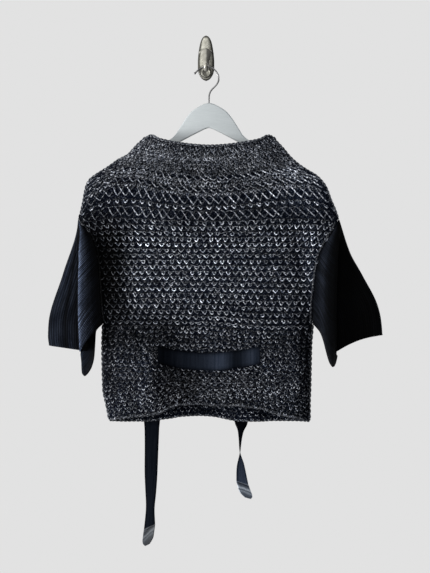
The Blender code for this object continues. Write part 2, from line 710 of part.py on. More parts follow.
def make_wall_arm(collection):
    """The arm comes off the plate broad, narrows forward and down and curls up at its end."""
    centres = np.array([(0.0, -forward, -drop) for forward, drop, _, _ in ARM])
    stations = np.arange(len(ARM))
    share = np.linspace(0, len(ARM) - 1, ARM_RINGS)
    path = np.stack([smooth(share, stations, centres[:, axis]) for axis in range(3)], axis=1)
    wide = smooth(share, stations, [row[2] for row in ARM])
    thick = smooth(share, stations, [row[3] for row in ARM])
    runs = np.gradient(path, axis=0)
    runs[0] = (0.0, -1.0, 0.0)
    runs /= np.linalg.norm(runs, axis=1)[:, None]
    bm = bmesh.new()
    rings = []
    for centre, run, half_wide, half_thick in zip(path, runs, wide, thick):
        across = np.array((1.0, 0.0, 0.0))
        up = np.cross(run, across)
        ring = []
        for side in range(ARM_SIDES):
            turn = 2 * math.pi * side / ARM_SIDES
            place = centre + across * half_wide * math.cos(turn) + up * half_thick * math.sin(turn)
            ring.append(bm.verts.new(Vector(place) * MM))
        rings.append(ring)
    for near, far in zip(rings, rings[1:]):
        for side in range(ARM_SIDES):
            after = (side + 1) % ARM_SIDES
            bm.faces.new((near[side], near[after], far[after], far[side]))
    bm.faces.new(rings[0])
    bm.faces.new(rings[-1])
    add_object("wall_hook_arm", mesh_from("wall_hook_arm", bm), "cast_nickel", collection)


def main():
    for old in list(bpy.data.objects):
        bpy.data.objects.remove(old, do_unlink=True)
    scene = bpy.context.scene
    parts = bpy.data.collections.new("boxy_knit_top")
    cutters = bpy.data.collections.new("cutters")
    scene.collection.children.link(parts)
    scene.collection.children.link(cutters)
    back_slits = [tail["exit"] for tail in TAILS.values()]
    for face, places in (("front", FRONT_SLITS), ("back", back_slits)):
        cut_slits(make_panel(face, parts), face, places, cutters)
    for name in SLEEVES:
        make_sleeve(name, parts)
    make_tape(parts)
    make_hanger(parts)
    make_wire(parts)
    make_wall_plate(parts)
    make_wall_arm(parts)


main()
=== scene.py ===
"""The looks of a boxy knit top that hangs on a wooden hanger from a wall hook.

Each knit panel is a thin dark shell on its solid's form with real strands on it:
a row of V-shaped stitches every few millimetres, a wavy strand between rows and
short strands in the gaps.
The sleeves are rib knit, the tape is grosgrain with leather ends, the hanger is
painted wood and the wall hook is cast metal.

Tables are in millimetres, like those of the part's source, whose sizes this
script repeats: y = 0 is the wall, "drop" is the distance below the origin, and
left and right are those of someone who faces the wall.
"""

import math
from collections import namedtuple

import bmesh
import bpy
import numpy as np
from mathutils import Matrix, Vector


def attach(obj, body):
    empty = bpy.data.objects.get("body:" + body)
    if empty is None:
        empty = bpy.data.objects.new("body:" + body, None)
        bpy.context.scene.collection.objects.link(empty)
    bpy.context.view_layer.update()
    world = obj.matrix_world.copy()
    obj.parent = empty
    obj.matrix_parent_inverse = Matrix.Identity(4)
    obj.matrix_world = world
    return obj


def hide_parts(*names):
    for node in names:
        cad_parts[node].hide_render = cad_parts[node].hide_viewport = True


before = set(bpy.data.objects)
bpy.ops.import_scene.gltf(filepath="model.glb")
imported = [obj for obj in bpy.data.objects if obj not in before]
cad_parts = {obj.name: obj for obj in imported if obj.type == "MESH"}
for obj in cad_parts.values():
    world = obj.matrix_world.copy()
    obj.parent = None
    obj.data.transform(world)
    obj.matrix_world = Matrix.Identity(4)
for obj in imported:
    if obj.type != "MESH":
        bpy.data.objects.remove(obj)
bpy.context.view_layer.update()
chance = np.random.default_rng(7)

MM = 0.001

# ---------------------------------------------------------------- view
FRAME_HIGH = 573              # height of the photograph, in pixels
PIXEL = 2.0                   # of the photograph, at the cloth
FRAME_MIDDLE = (18.0, -460.0)   # x and z that the camera looks at
CAMERA_AWAY = 4500.0
SENSOR = 36.0

# ---------------------------------------------------------------- cloth sizes
SIGN = {"left": -1.0, "right": 1.0, "front": -1.0, "back": 1.0}   # of x at a side, of y at a face
CLOTH_PLANE = -36.0           # y of the side seams and of the hanger's middle
BODY_WALL = 3.0
SLEEVE_WALL = 2.0
SEAM_GAP = 0.3                # between pieces that are sewn together
SIDE_ROUND = 4.0              # how square the body's rounded sides are
EDGE_REACH = 10.0             # how close to its edge the armhole's depth stays
ARMHOLE_TURN = 8.0            # armhole depth at which the wall's end faces sideways
ARMHOLE_TOP = 327.0
ARMHOLE_END = 534.0

BODY = {
    "drop":    (159, 167, 177, 187, 197, 207, 217, 227, 237, 247, 261, 287, 311,
                327, 333, 345, 365, 401, 467, 507, 523, 531, 535, 577, 667, 697, 730),
    "left":    (-119, -127, -138, -147, -157, -176, -190, -205, -221, -233, -240, -245, -250,
                -254, -250, -240, -227, -217, -212, -209, -207, -206, -206, -207, -205, -199, -193),
    "right":   (135, 139, 148, 157, 165, 175, 187, 202, 219, 230, 240, 250, 260,
                264, 261, 255, 243, 225, 215, 212, 212, 213, 213, 210, 208, 207, 207),
    "armhole": (0, 0, 0, 0, 0, 0, 0, 0, 0, 0, 0, 0, 0,
                7, 9, 11, 14, 18, 20, 19, 15, 8, 0, 0, 0, 0, 0),
    "front":   (30, 30, 29, 28, 27, 26, 25, 24, 24, 24, 24, 25, 26,
                26, 26, 26, 27, 28, 29, 29, 29, 29, 29, 29, 28, 28, 28),
    "back":    (23, 23, 22, 22, 21, 21, 20, 20, 20, 20, 20, 20, 21,
                21, 21, 21, 22, 22, 23, 23, 23, 23, 23, 23, 23, 23, 23),
}
NECK_TOP = BODY["drop"][0]
HEM = BODY["drop"][-1]
NECK_DIP = 20.0               # how far the neck edge sinks between the shoulders
NECK_DIP_REACH = 75.0         # depth of cloth that sinks with it
NECK_DIP_ROUND = 1.8          # how soon the edge rises again towards the shoulders
NECK_CORNER = 4.0             # how far the neck edge rises beside its corners
NECK_CORNER_AT = (0.90, 0.07)   # where across the panel it rises, and over how much
NECK_CORNER_ROUND = 4.0       # how far the corners themselves sink
NECK_CORNER_SHARP = 60
NECK_CORNER_REACH = 26.0      # depth of cloth that moves with the corners
HEM_REACH = 105.0             # height of cloth that rises with the hem
HEM_RISE = {
    "x":     (-195, -160, -122, -98, -85, -69, -52, -12, 16, 60, 82, 112, 134, 176, 210),
    "front": (2, 8, 13, 16, 21, 29, 34, 36, 33, 33, 30, 26, 18, 8, 0),
    "back":  (2, 0, 0, 2, 4, 6, 9, 11, 9, 1, 0, 0, 1, 1, 0),
}
FOLDS = {
    # x, drop, half width, half height, out
    "front": (
        (5, 607, 95, 20, -5.0), (0, 545, 120, 45, 3.5), (-75, 668, 22, 40, -4.0),
        (15, 690, 60, 34, 4.0), (95, 660, 30, 55, 3.0), (-165, 430, 26, 90, -4.0),
        (170, 640, 24, 70, -4.0), (-60, 300, 40, 70, 2.0), (90, 320, 45, 80, -2.0),
    ),
    "back": (
        (0, 600, 110, 30, -3.0), (86, 735, 32, 60, -12.0), (-110, 735, 30, 60, -3.0),
        (-150, 420, 30, 90, -3.0), (150, 450, 30, 90, -3.0), (20, 350, 60, 80, 1.5),
    ),
}
CREASE_ENDS = ((-0.1, 0.25), (0.75, 1.1))   # shares of its line over which a crease begins and ends
# Creases of the cloth, each a soft ridge (+) or trough (-) along a line.
CREASES = {
    # from x, drop, to x, drop, half width, out
    "front": (
        (-228, 300, -196, 540, 9, -2.2),
        (-120, 250, -150, 420, 14, -1.2),
        (-98, 590, -150, 540, 7, -1.6),
        (-98, 604, -160, 640, 8, 1.4),
        (-94, 618, -84, 700, 10, -2.2),
        (-120, 625, -128, 715, 12, 1.8),
        (110, 590, 165, 560, 8, -1.4),
        (110, 606, 150, 690, 10, 1.6),
        (60, 640, 82, 710, 10, -1.4),
        (150, 260, 205, 330, 12, -1.5),
        (-30, 480, 60, 520, 16, 1.0),
    ),
    "back": (
        (-100, 590, -160, 540, 9, -1.6),
        (105, 590, 165, 545, 9, -1.4),
        (-60, 620, -30, 715, 12, 1.4),
        (70, 260, 110, 430, 16, -1.2),
        (-170, 280, -140, 420, 14, -1.5),
        (20, 640, 40, 715, 12, -1.2),
    ),
}

# ---------------------------------------------------------------- knit
SHELL_SET_IN = 1.2            # of the shell's outside, below the strands
SHELL_EDGE_SET_IN = 0.4       # the same at a panel's side edges
SHELL_CROWDING = 0.4          # share of its columns' spacing that crowds to the round sides
SHELL_ROWS = 84
SHELL_COLUMNS = 75
GROUND_CONTRAST = 1.5         # power of the tone and painted light and shade on the shell
PROBE_ACROSS = 0.004          # steps for reading the cloth's slope
PROBE_DROP = 1.0
ROW_SAMPLES = 161             # for measuring along the cloth
SIDE_SHARP = 14               # how near a panel's side edges strands begin to lie deeper
STRAND_SIDES, BAR_SIDES, TUFT_SIDES = 5, 4, 3
MARGIN = 2.0                  # of strands from a panel's edges
# Twisted ropes on the edges and seams: how light they are, with painted shade on the neck edge,
# the hem and the armholes, then swing, radius and pitch of their strands.
ROPES = {
    "neck": (0.5, 1.1, 1.7, 17.0),
    "hem": (0.25, 1.1, 1.7, 17.0),
    "shoulder": (0.6, 1.2, 1.4, 17.0),
    "side": (0.6, 1.5, 1.5, 21.0),
    "armhole": (0.25, 0.9, 1.2, 13.0),
}
ROPE_VARIED = 0.2
EDGE_STEP = 1.6               # between the points of an edge's rope
SEAM_STEP = 1.5               # and of a seam's
ARMHOLE_SEAM = 0.985          # where across the panel its rope lies
# From which drop to which there are stitches, loose strands, and stitches that show inside.
KNITTED = (NECK_TOP + 5.0, HEM - MARGIN)
TUFTED = (NECK_TOP + 60.0, HEM - MARGIN)
NECK_INSIDE = (NECK_TOP + 4.0, NECK_TOP + 45.0)
INSIDE_SHOWS = {"front": (NECK_INSIDE,), "back": (NECK_INSIDE, (HEM - 75.0, HEM - MARGIN))}
# painted light on the stitches that show inside, which lie in shade
INSIDE_PAINTED_LIGHT = 1.1
# How much deeper strands lie at a panel's side edges, and under the tape.
PRESSED = {"stitch": (1.2, 1.7), "bar": (0.6, 0.6), "tuft": (1.0, 0.9)}
PRESS_FADES = (6.0, 2.0, 5.0)   # past a slit, short of it, and beside the tape
# Kinds of row: distance between stitches, a stitch's width and height, its strand's
# radius, how far its ends may draw together, how round its foot is, how much its left
# arm stands before its right one, how light it is, how much that varies and how
# unevenly its stitches lie.
Kind = namedtuple("Kind", "stitch wide tall thick closed rounded lead light varied uneven")
ROW_KINDS = {
    "funnel":  Kind(9.4, 7.8, 5.6, 1.15, 0.60, 0.3, 0.6, 0.92, 0.42, 0.9),
    "stroke":  Kind(16.6, 24.0, 9.0, 1.20, 0.00, 0.05, 1.20, 1.30, 0.30, 0.6),
    "fine":    Kind(8.4, 8.0, 5.0, 1.20, 0.50, 0.3, 0.4, 1.12, 0.45, 0.8),
    "lattice": Kind(16.8, 26.0, 17.0, 1.20, 0.00, 0.05, 1.15, 1.30, 0.25, 0.5),
    "loop":    Kind(16.8, 9.6, 6.2, 1.20, 0.80, 0.3, 0.1, 1.50, 0.25, 0.6),
    "vee":     Kind(14.4, 9.8, 6.0, 1.02, 0.85, 0.28, 0.20, 1.95, 0.36, 0.4),
    "low":     Kind(11.8, 7.4, 4.6, 1.00, 0.90, 0.4, 0.5, 0.83, 0.62, 1.5),
}
# The rows from neck to hem: kind, first and last drop, how many.
ROWS = (
    ("funnel", 162.0, 238.0, 13), ("stroke", 245.5, 245.5, 1), ("fine", 253.0, 260.0, 2),
    ("stroke", 268.5, 268.5, 1), ("fine", 277.0, 277.0, 1),
    ("lattice", 288.0, 288.0, 1), ("loop", 304.0, 304.0, 1), ("lattice", 319.0, 319.0, 1),
    ("loop", 334.5, 334.5, 1), ("vee", 345.0, 532.0, 18), ("low", 541.0, 727.5, 23),
)
ROW_VARIED = (0.10, 0.06, 0.15, 0.22)   # of a row's height, width, lead and start
ROW_LIGHT_VARIED = 0.17
ROW_END = 0.15                # of a stitch's pitch, left free at both ends of a row
PATCHES, PATCH_VARIED = 9, 0.13   # along a row, lighter and darker
STITCH_POINTS = 9
STITCH_VARIED = {"wide": 0.08, "tall": 0.07, "round": 0.2}
STITCH_SHIFT, STITCH_TILT = 0.7, 0.8   # up or down, of an uneven stitch
STITCH_LIMITS = (NECK_TOP + MARGIN, HEM - 1.5)
DRAWN_MEAN, DRAWN_MOST = 0.3, 0.75   # mean share of "closed" that a stitch is drawn, and the most
DRAWN_SPREAD = (0.45, 1.35)   # how a drawn stitch bulges, and how its ends close
STRAND_OUT = (0.3, 0.7, 2.2)  # off the cloth: its arms, its foot above them, its ends below
BEHIND_FROM = (-0.1, 0.4)     # places along a stitch between which its right arm goes behind
ARM_BEHIND, BEHIND_ARM_PAINTED_SHADE = 1.2, 0.6   # how deep that arm lies, and how much painted shade it gets
ENDS_THINNER = 0.3
MEAN_LIGHT = -0.05            # as a power of e
MOST_LIGHT = 1.58             # of one stitch, against its kind's own light
BAR_POINTS = 161              # of the wavy strand on top of a row
BAR_RADIUS = 0.8
BAR_DEEP = 1.0
BAR_WAVE = (1.2, 0.3)         # up and down, and in and out
BAR_WANDERS, BAR_WANDER = 60, 0.8   # how often along a row it strays, and how far
BAR_PATCHES, BAR_LIGHT = 16, (0.04, 0.48)   # how many along a row, least and most light
BAR_VARIED = 0.5
BAR_LIMITS = (NECK_TOP + MARGIN, HEM - MARGIN)
TUFT_POINTS = 4               # of a short strand in the gaps between the rows
TUFT_RADIUS = 0.85
TUFT_PITCH = 7.0
TUFT_SPREAD = (0.2, 0.8)      # where it may lie, as a share of its pitch
TUFT_HALF = (2.0, 3.6)        # least and most half length
TUFT_TILT, TUFT_BENT = 0.9, 0.8
TUFT_ABOVE, TUFT_STRAYS = 0.75, 1.6   # share of a stitch's height above its row, and how far off
TUFT_OUT = (0.6, 0.5)         # how deep it lies, and how much deeper its ends
TUFT_LIGHT = 0.11
TUFT_VARIED = (-0.3, 0.6)     # mean and spread of its light, as powers of e
TUFT_LIMITS = (NECK_TOP + 3.0, HEM - 3.0)
# Rows bend away from level: how far up (+) they go at a share of a shape across the panel.
ROW_BENDS = (
    {   # towards the shoulders, and down again at the shoulder's edge
        "drop": (159, 200, 265, 300, 330, 360, 420), "rise": (0, 10, 22, 15, 7, 3, 0),
        "x": (-252, -225, -185, -145, -85, 0, 85, 150, 205, 240, 266),
        "share": (-1.2, 0.0, 1.0, 0.95, 0.35, 0.0, 0.3, 0.8, 0.9, 0.3, -0.6),
    },
    {   # down to the right above the tape
        "drop": (400, 490, 560, 620, 700), "rise": (0, -5, -12, -8, 0),
        "x": (-60, 20, 110, 200), "share": (0.0, 0.3, 1.0, 1.1),
    },
)
# least of the yarn's tone times its painted light and shade
LEAST_TONE_AND_PAINTED_LIGHT = 0.03
# Where the yarn is lighter (+) or darker (-) than the rest: partly its own tone, partly painted
# shade where folds and the left sleeve's flap shade the cloth, and painted light on lit ridges.
TONE_AND_PAINTED_LIGHT = {
    # x, drop, half width, half height, lighter
    "front": (
        (-218, 432, 67, 130, -0.97), (200, 640, 20, 90, -0.55), (-58, 655, 46, 58, -0.64),
        (-122, 652, 14, 52, 0.45), (-40, 568, 170, 20, -0.10), (-105, 545, 66, 40, -0.42),
        (150, 650, 40, 60, 0.42), (-198, 620, 18, 80, -0.5), (-86, 600, 24, 18, -0.3),
        (-205, 262, 50, 50, -0.05), (178, 430, 34, 110, -0.04), (190, 270, 50, 46, 0.75),
        (30, 435, 110, 55, 0.20), (45, 560, 64, 30, 0.25), (196, 505, 16, 60, -0.35),
        (-160, 300, 55, 34, 0.25), (206, 400, 16, 80, 0.5), (20, 290, 130, 24, 0.10),
    ),
    "back": ((-60, 500, 60, 80, 0.15), (120, 350, 50, 60, -0.2)),
}

# ---------------------------------------------------------------- sleeves
SLEEVES = {
    "sleeve_left": {
        "side": "left",
        "foot_rise": 0.0,
        "fold":   {"drop": (327, 345, 420, 500, 588), "x": (-255, -255, -254, -255, -252)},
        "hidden": {"drop": (327, 345, 420, 500, 588), "x": (-254, -252, -247, -242, -238)},
        "outer":  {"drop": (327, 345, 435, 535, 560, 577), "x": (-256, -258, -286, -315, -316, -314)},
        "flap_foot": {
            "across": (0.0, 0.12, 0.25, 0.35, 0.45, 0.60, 0.75, 0.88, 0.95, 1.0),
            "x":      (-252, -249, -247, -242, -236, -226, -222, -221, -213, -206),
            "drop":   (588, 608, 632, 639, 634, 614, 589, 556, 540, 534),
        },
        # the front layer ends higher, where the photo shows the back one's inside below it
        "front_foot": {
            "across": (0.0, 0.12, 0.25, 0.40, 0.55, 0.70, 0.85, 1.0),
            "x":      (-252, -249.5, -246, -240, -232, -222, -214, -206),
            "drop":   (588, 585, 579, 570, 560, 549, 541, 534),
        },
    },
    "sleeve_right": {
        "side": "right",
        "foot_rise": 8.0,
        "fold":   {"drop": (327, 345, 420, 500, 596), "x": (265, 266, 262, 260, 260)},
        "hidden": {"drop": (327, 345, 420, 500, 596), "x": (264, 263, 257, 252, 249)},
        "outer":  {"drop": (327, 392, 436, 497, 526, 556), "x": (267, 288, 312, 343, 350, 353)},
        "flap_foot": {
            "across": (0.0, 0.12, 0.25, 0.35, 0.45, 0.60, 0.75, 0.88, 0.95, 1.0),
            "x":      (260, 258, 255.5, 253, 248, 241, 236, 230, 221, 213),
            "drop":   (596, 606, 616, 621, 615, 595, 575, 556, 543, 534),
        },
    },
}
PLEAT = (
    # layer, along, depth, the light and shade painted on the left sleeve there, and on the right one
    ("flap", 1.00, 0.0, 0.10, 0.5), ("flap", 0.90, 24.0, 0.15, 1.1), ("flap", 0.79, 26.0, 0.3, 1.1),
    ("flap", 0.68, 28.0, 0.5, 0.9), ("flap", 0.57, 29.0, 0.9, 0.4), ("flap", 0.46, 30.0, 1.5, 0.25),
    ("flap", 0.35, 30.0, 2.5, 0.15), ("flap", 0.24, 30.0, 3.6, 0.1), ("flap", 0.14, 29.5, 6.6, 0.08),
    ("flap", 0.05, 28.0, 8.6, 0.08), ("flap", 0.00, 25.0, 2.0, 0.08), ("under", 0.12, 22.0, 0.3, 0.06),
    ("under", 0.50, 20.5, 0.3, 0.05), ("under", 0.88, 19.0, 0.3, 0.05), ("under", 1.00, 16.5, 0.3, 0.05),
    ("outer", 0.04, 14.0, 0.2, 0.05), ("outer", 0.16, 13.0, 0.2, 0.05), ("outer", 0.28, 12.5, 0.5, 0.05),
    ("outer", 0.41, 12.5, 1.7, 0.05), ("outer", 0.54, 12.5, 0.3, 0.05), ("outer", 0.67, 12.0, 1.7, 0.05),
    ("outer", 0.79, 11.0, 2.4, 0.06), ("outer", 0.90, 9.0, 1.7, 0.10), ("outer", 0.97, 5.5, 1.1, 0.15),
    ("outer", 1.00, 0.0, 0.6, 0.15),
)
BEHIND_PAINTED_SHADE = 0.35           # painted shade on a sleeve's back half, against its front
PLEAT_OPENS = (0.03, 0.30)    # share of the way down over which the pleat opens
POINT_ACROSS = 0.35           # where the flap's bottom edge comes to its point
POINT_ROUND = 14              # how late the flap closes towards its bottom edge
POINT_STARTS = 0.05           # place across the flap from which it narrows to that point
FOOT_TUCK = (0.7, 0.3)        # from this share of the way down, inner layers draw this far together
SEAM_FULL = (0.6, 0.8)        # from this place across, the flap keeps this share of its depth
SWELL = (0.2, 6.0)            # share of the way down by which the shoulder swells, and how far
BACK_SHARE = 0.8              # of the front half's depth, that the back half has
SLEEVE_ROWS = 72
SLEEVE_COLUMNS = 190
FOLD_COLUMN = 10              # rows of the pleat's table: the fold's, and the hidden turn's
HIDDEN_COLUMN = 14
RIB_LEAN = 0.75               # of the ribs on a sleeve's flap, which slant
FOLDS_OPEN = (0.05, 0.3)      # share of the way down over which the soft folds begin
# Soft folds along a sleeve: distance round it from the outer edge, half width, out.
SLEEVE_FOLDS = (
    # front half, then back half
    ((10, 8, 0.54), (23, 5.0, -1.2), (36, 5.0, -1.08), (50, 5.5, -0.78), (62, 6, 0.48)),
    ((9, 7, 0.48), (20, 5.0, -1.08), (35, 5.0, -1.08), (45, 6, 0.48), (54, 4.5, -0.78)),
)
CUFF_ROLL = 1.3               # radius of the sleeve's bound edge
CUFF_SIDES = 8

# ---------------------------------------------------------------- waist tape
TAPE_WIDTH = 35.0
TAPE_THICK = 1.0
TAPE_CLEAR = 1.0              # from the knit that it lies on
TAPE_COLUMNS = 9
BAND_DROP = {"x": (-95, -45, 10, 60, 107), "drop": (596, 606, 610, 605, 597)}
FRONT_SLITS = (-95.0, 107.0)
BACK_SLIT_DROP = 597.0
UPRIGHT = np.array((0.0, 0.0, TAPE_WIDTH / 2))
BAND_START = 4.5              # from a slit, where the tape lies flat on the front
BAND_COLUMNS = 61
BAND_PROBES = (-0.5, -0.25, 0.0, 0.25, 0.5)   # places across the tape's width
# The painted sheen and shade on the tape along the band, and on each tail.
BAND_PAINTED_LIGHT = {
    "x":     (-95, -70, -45, -10, 14, 28, 44, 60, 76, 92, 107),
    "light": (0.12, 0.25, 0.6, 1.1, 2.0, 2.7, 1.5, 0.45, 1.1, 2.0, 1.4),
}
TAIL_PAINTED_LIGHT = {
    "left":  {"drop": (618, 930), "light": (0.22, 0.40)},
    "right": {"drop": (618, 770, 794, 812, 850), "light": (0.1, 0.1, 0.4, 4.5, 6.0)},
}
EDGE_PAINTED_SHADE = (0.3, 0.75, 1.0, 1.0, 1.0, 1.0, 1.0, 0.75, 0.3)   # painted shade across the tape, darker at its edges
# Away from the slit and out from the knit: the tape's way in, and out again at the back.
INTO_SLIT = ((0.0, 12.0), (0.0, 5.0), (0.0, 1.0), (0.35, -0.4), (1.3, -1.0), (2.6, -1.1))
OUT_OF_SLIT = ((0.0, -12.0), (0.0, -5.0), (0.0, -0.5), (0.35, 1.0), (1.3, 1.8), (3.0, 2.0), (8.0, 2.0))
FOLD_CLEAR = 1.0              # between the last straight line and the diagonal fold
FOLD_RADIUS = 1.3
FOLD_STEPS = 8
TAILS = {
    "left": {
        "exit": -84.0,
        "x":    (-110.5, -110, -109, -109, -109.5, -110.5, -111, -112, -113.5),
        "drop": (618, 690, 725, 745, 783, 831, 870, 905, 942),
        "y":    (-8.4, -7.0, -7.6, -10.5, -13.5, -15.0, -16.5, -17.5, -17.5),
        "edge": (0, 10, 19, 32, 38, 42, 51, 60, 50),
    },
    "right": {
        "exit": 95.0,
        "x":    (68.5, 70, 70, 70.5, 69.5, 68.7, 68, 69.5, 73),
        "drop": (618, 680, 715, 735, 750, 765, 792, 820, 854),
        "y":    (-8.4, -7.0, -9.5, -14.5, -18.4, -19.3, -19.5, -18.7, -17.5),
        "edge": (0, 12, 26, 46, 72, 81, 90, 115, 133),
    },
}
TAIL_ROWS = 60
SLANT_REACH = 45.0            # length of a tail over which its cross lines turn to its end's slant
TIP_EDGE_THICK = 1.5          # of a leather end, along its edges
TIP_PILLOW = 0.5              # how much each face rises to the middle
TIP_ROWS, TIP_COLUMNS = 22, 13
TIP_CORNER = 15.0             # length over which a leather end rounds off
TIP_BLUNT = 0.05              # share of that length by which the end is cut short
TIP_NARROWEST = 0.45
TIP_SEAM_ROW = 2
THREAD_RADIUS, THREAD_SIDES = 0.35, 6
# light is the light and shade painted on each leather end
TIPS = {
    "left": {
        "x": (-113.5, -116, -118), "drop": (942.5, 962, 979), "y": (-17.5, -17.0, -16.5),
        "edge": (50, 50, 54), "slant": 6.5, "light": 0.34, "lean": 0.30,
    },
    "right": {
        "x": (73, 78, 84), "drop": (854.5, 870, 885), "y": (-17.5, -17.0, -16.5),
        "edge": (133, 136, 142), "slant": 5.0, "light": 2.5, "lean": 0.05,
    },
}

# ---------------------------------------------------------------- hanger and wall hook
HANGER_X = 6.0
HANGER_THICK = 12.0
HANGER_BEVEL = 2.5
HANGER = {
    "out":   (0, 8, 16, 24, 33, 45, 58, 70, 100, 150, 180, 195, 202),
    "top":   (93, 94.5, 98, 102.5, 108.5, 122, 142, 160, 179, 207, 224, 233, 240),
    "under": (142.5, 145, 149, 153, 157.5, 164, 171, 178, 197, 225, 241, 247, 245),
}
HANGER_STEPS = 40
WELD = 0.02                   # points nearer than this are one point
WIRE_THICK = 3.0
WIRE_ROUTE = (
    (-22.0, -33.5), (-17.0, -28.5), (-11.0, -23.8), (-5.0, -21.0), (0.0, -20.2),
    (8.0, -21.2), (16.0, -25.5), (21.5, -31.5), (25.0, -39.0), (25.5, -46.0),
    (23.0, -53.5), (18.0, -60.0), (12.0, -66.0), (8.0, -72.5), (6.2, -80.0), (6.0, -92.6),
)
WIRE_POINTS = 90
WIRE_SIDES = 12
WIRE_BALL = 2.3               # radius of the ball on the wire's tip
PLATE_HIGH = (1.2, 3.3)       # of its rim, and of its face above the rim
PLATE_ROUND = 3               # how square its face is from side to side
PLATE_TRIM = 0.3              # cut off its pointed ends
PLATE_ENDS = 6.0              # length over which the ends round down
PLATE = {
    "drop": (-46, -44, -39, -31, -20, -7, 8, 20, 30, 38, 43, 46),
    "half": (0, 4.5, 8.5, 11.5, 13.8, 15.6, 16.6, 16.6, 15.0, 11.0, 6.5, 0),
}
PLATE_ROWS = 90
PLATE_COLUMNS = 41
# The plate's face: a collar round the arm's root and a ringed dish at its foot.
COLLAR = {"drop": -14.0, "half": 3.0, "out": 2.2}
DISH = {"drop": 29.0, "rings": ((14.0, 1.6, 1.4), (8.0, 1.4, 1.2), (0.0, 6.0, -1.6))}
# Painted shade at the plate's rim and a painted highlight on its face, where its rim is across it
# and at its ends, and painted shade in the dish's groove.
PLATE_PAINTED_LIGHT = (0.35, 1.5)
PLATE_RIM = (0.62, 0.85)
PLATE_END_RIM = (0.3, 1.0)
DISH_PAINTED_SHADE = {"radius": 10.5, "half": 2.0, "much": 0.7}
ARM = (
    # forward of the wall, drop, half width, half thickness
    (3.8, -15.0, 11.0, 5.0), (9.0, -14.0, 11.0, 5.0), (15.5, -6.0, 9.8, 4.6),
    (22.0, 8.0, 7.0, 4.2), (28.5, 21.0, 5.0, 3.8), (33.5, 25.6, 4.2, 3.6),
    (38.0, 26.1, 4.2, 3.6), (42.5, 24.0, 4.4, 3.6), (45.0, 18.5, 4.2, 3.4), (45.6, 14.5, 2.2, 1.8),
)
ARM_PAINTED_LIGHT = (1.2, 0.45)       # painted light on the arm's left side, and painted shade on its right one
ARM_PAINTED_LIGHT_TURNS = (-0.15, 0.25)   # places across the arm between which it changes
ARM_SIDES = 24
ARM_RINGS = 64
ARM_SQUARE = (1.35, 2.8)      # power of the section at the arm's root and tip; 2 is an ellipse
ARM_SQUARE_ROWS = (2.0, 5.0)  # rows of its table between which that changes

# ---------------------------------------------------------------- colours
# Ramps from a noise to a colour, in linear light.
PLY_PITCH = 9.0               # of the yarn's twist
YARN_TONES = (
    (0.34, (0.007, 0.011, 0.021)), (0.45, (0.070, 0.080, 0.101)),
    (0.55, (0.270, 0.285, 0.320)), (0.66, (0.640, 0.655, 0.690)),
)
GROUND_TONES = (
    (0.49, (0.0010, 0.0018, 0.0045)), (0.57, (0.009, 0.012, 0.020)), (0.67, (0.08, 0.09, 0.11)),
)
RIB_TONES = ((0.35, (0.0044, 0.0064, 0.0122)), (0.62, (0.0198, 0.0250, 0.0370)))
RIB_PITCH = 4.6
RIB_ROW = 3.0                 # height of a row of its stitches
RIB_STREAKS = ((0.42, (0.10,) * 3), (0.60, (1.0,) * 3))   # where the painted shade of the ribs' grooves shows along a sleeve
# How strong ribs are, in bump and in the painted shade of their grooves, by distance from the
# sleeve's outer edge as a share of the reach below.
RIB_STRENGTH = ((0.60, (0.35,) * 3), (0.85, (1.0,) * 3))
RIB_STRENGTH_REACH = 100.0
GROSGRAIN_PITCH = 1.1
TAPE_TONES = ((0.35, (0.0064, 0.0090, 0.0143)), (0.65, (0.0160, 0.0200, 0.0290)))
LEATHER_LONG = 40.0
LEATHER_PAINTED_HIGHLIGHTS = (
    # share of the way down a leather end, colour, with highlights painted pale along its creases
    (0.02, (0.110, 0.125, 0.150)), (0.08, (0.018, 0.022, 0.032)), (0.22, (0.060, 0.070, 0.085)),
    (0.34, (0.290, 0.315, 0.345)), (0.42, (0.060, 0.070, 0.085)), (0.52, (0.170, 0.190, 0.215)),
    (0.64, (0.060, 0.070, 0.085)), (0.97, (0.030, 0.036, 0.046)),
)
WOOD_TONES = ((0.38, (0.59, 0.63, 0.63)), (0.50, (0.62, 0.66, 0.66)), (0.64, (0.65, 0.69, 0.69)))
METALS = {
    # dark and light colour, roughness, metallic
    "steel_wire": ((0.13, 0.13, 0.135), (0.26, 0.26, 0.265), 0.34, 1.0),
    "worn_nickel": ((0.17, 0.165, 0.14), (0.29, 0.285, 0.25), 0.34, 0.7),
    # the arm's nickel, painted lighter than the plate's where the arm is lit
    "lit_nickel": ((0.40, 0.385, 0.335), (0.60, 0.58, 0.52), 0.28, 0.55),
}
METAL_WORN = (0.36, 0.64)     # the noise's values for the dark and the light colour
METAL_DULLER = 0.16

# ---------------------------------------------------------------- room
FLOOR_DROP = 1300.0
FLOOR_RADIUS = 0.6            # in metres
FLOOR_SIDES = 96
FLOOR_TONES = ((0.3, (0.74, 0.745, 0.76)), (0.7, (0.80, 0.80, 0.81)))
BACKGROUND = (0.76, 0.76, 0.76)
AMBIENT = (0.26, 0.27, 0.29)
MIRRORED_FROM = (-0.64, -0.34, 0.69)   # the brightest way in the room as metal mirrors it
MIRRORED = ((0.05, (0.10, 0.10, 0.10)), (0.45, (0.32, 0.32, 0.31)), (0.80, (0.80, 0.80, 0.78)))
LIGHTS = (
    # place in metres, size, power in watts; all face the cloth
    ((-2.3, -0.85, -0.75), 0.9, 75.0),
    ((-0.6, -2.6, 0.4), 1.6, 20.0),
    ((0.8, 1.9, 0.9), 2.0, 30.0),
)


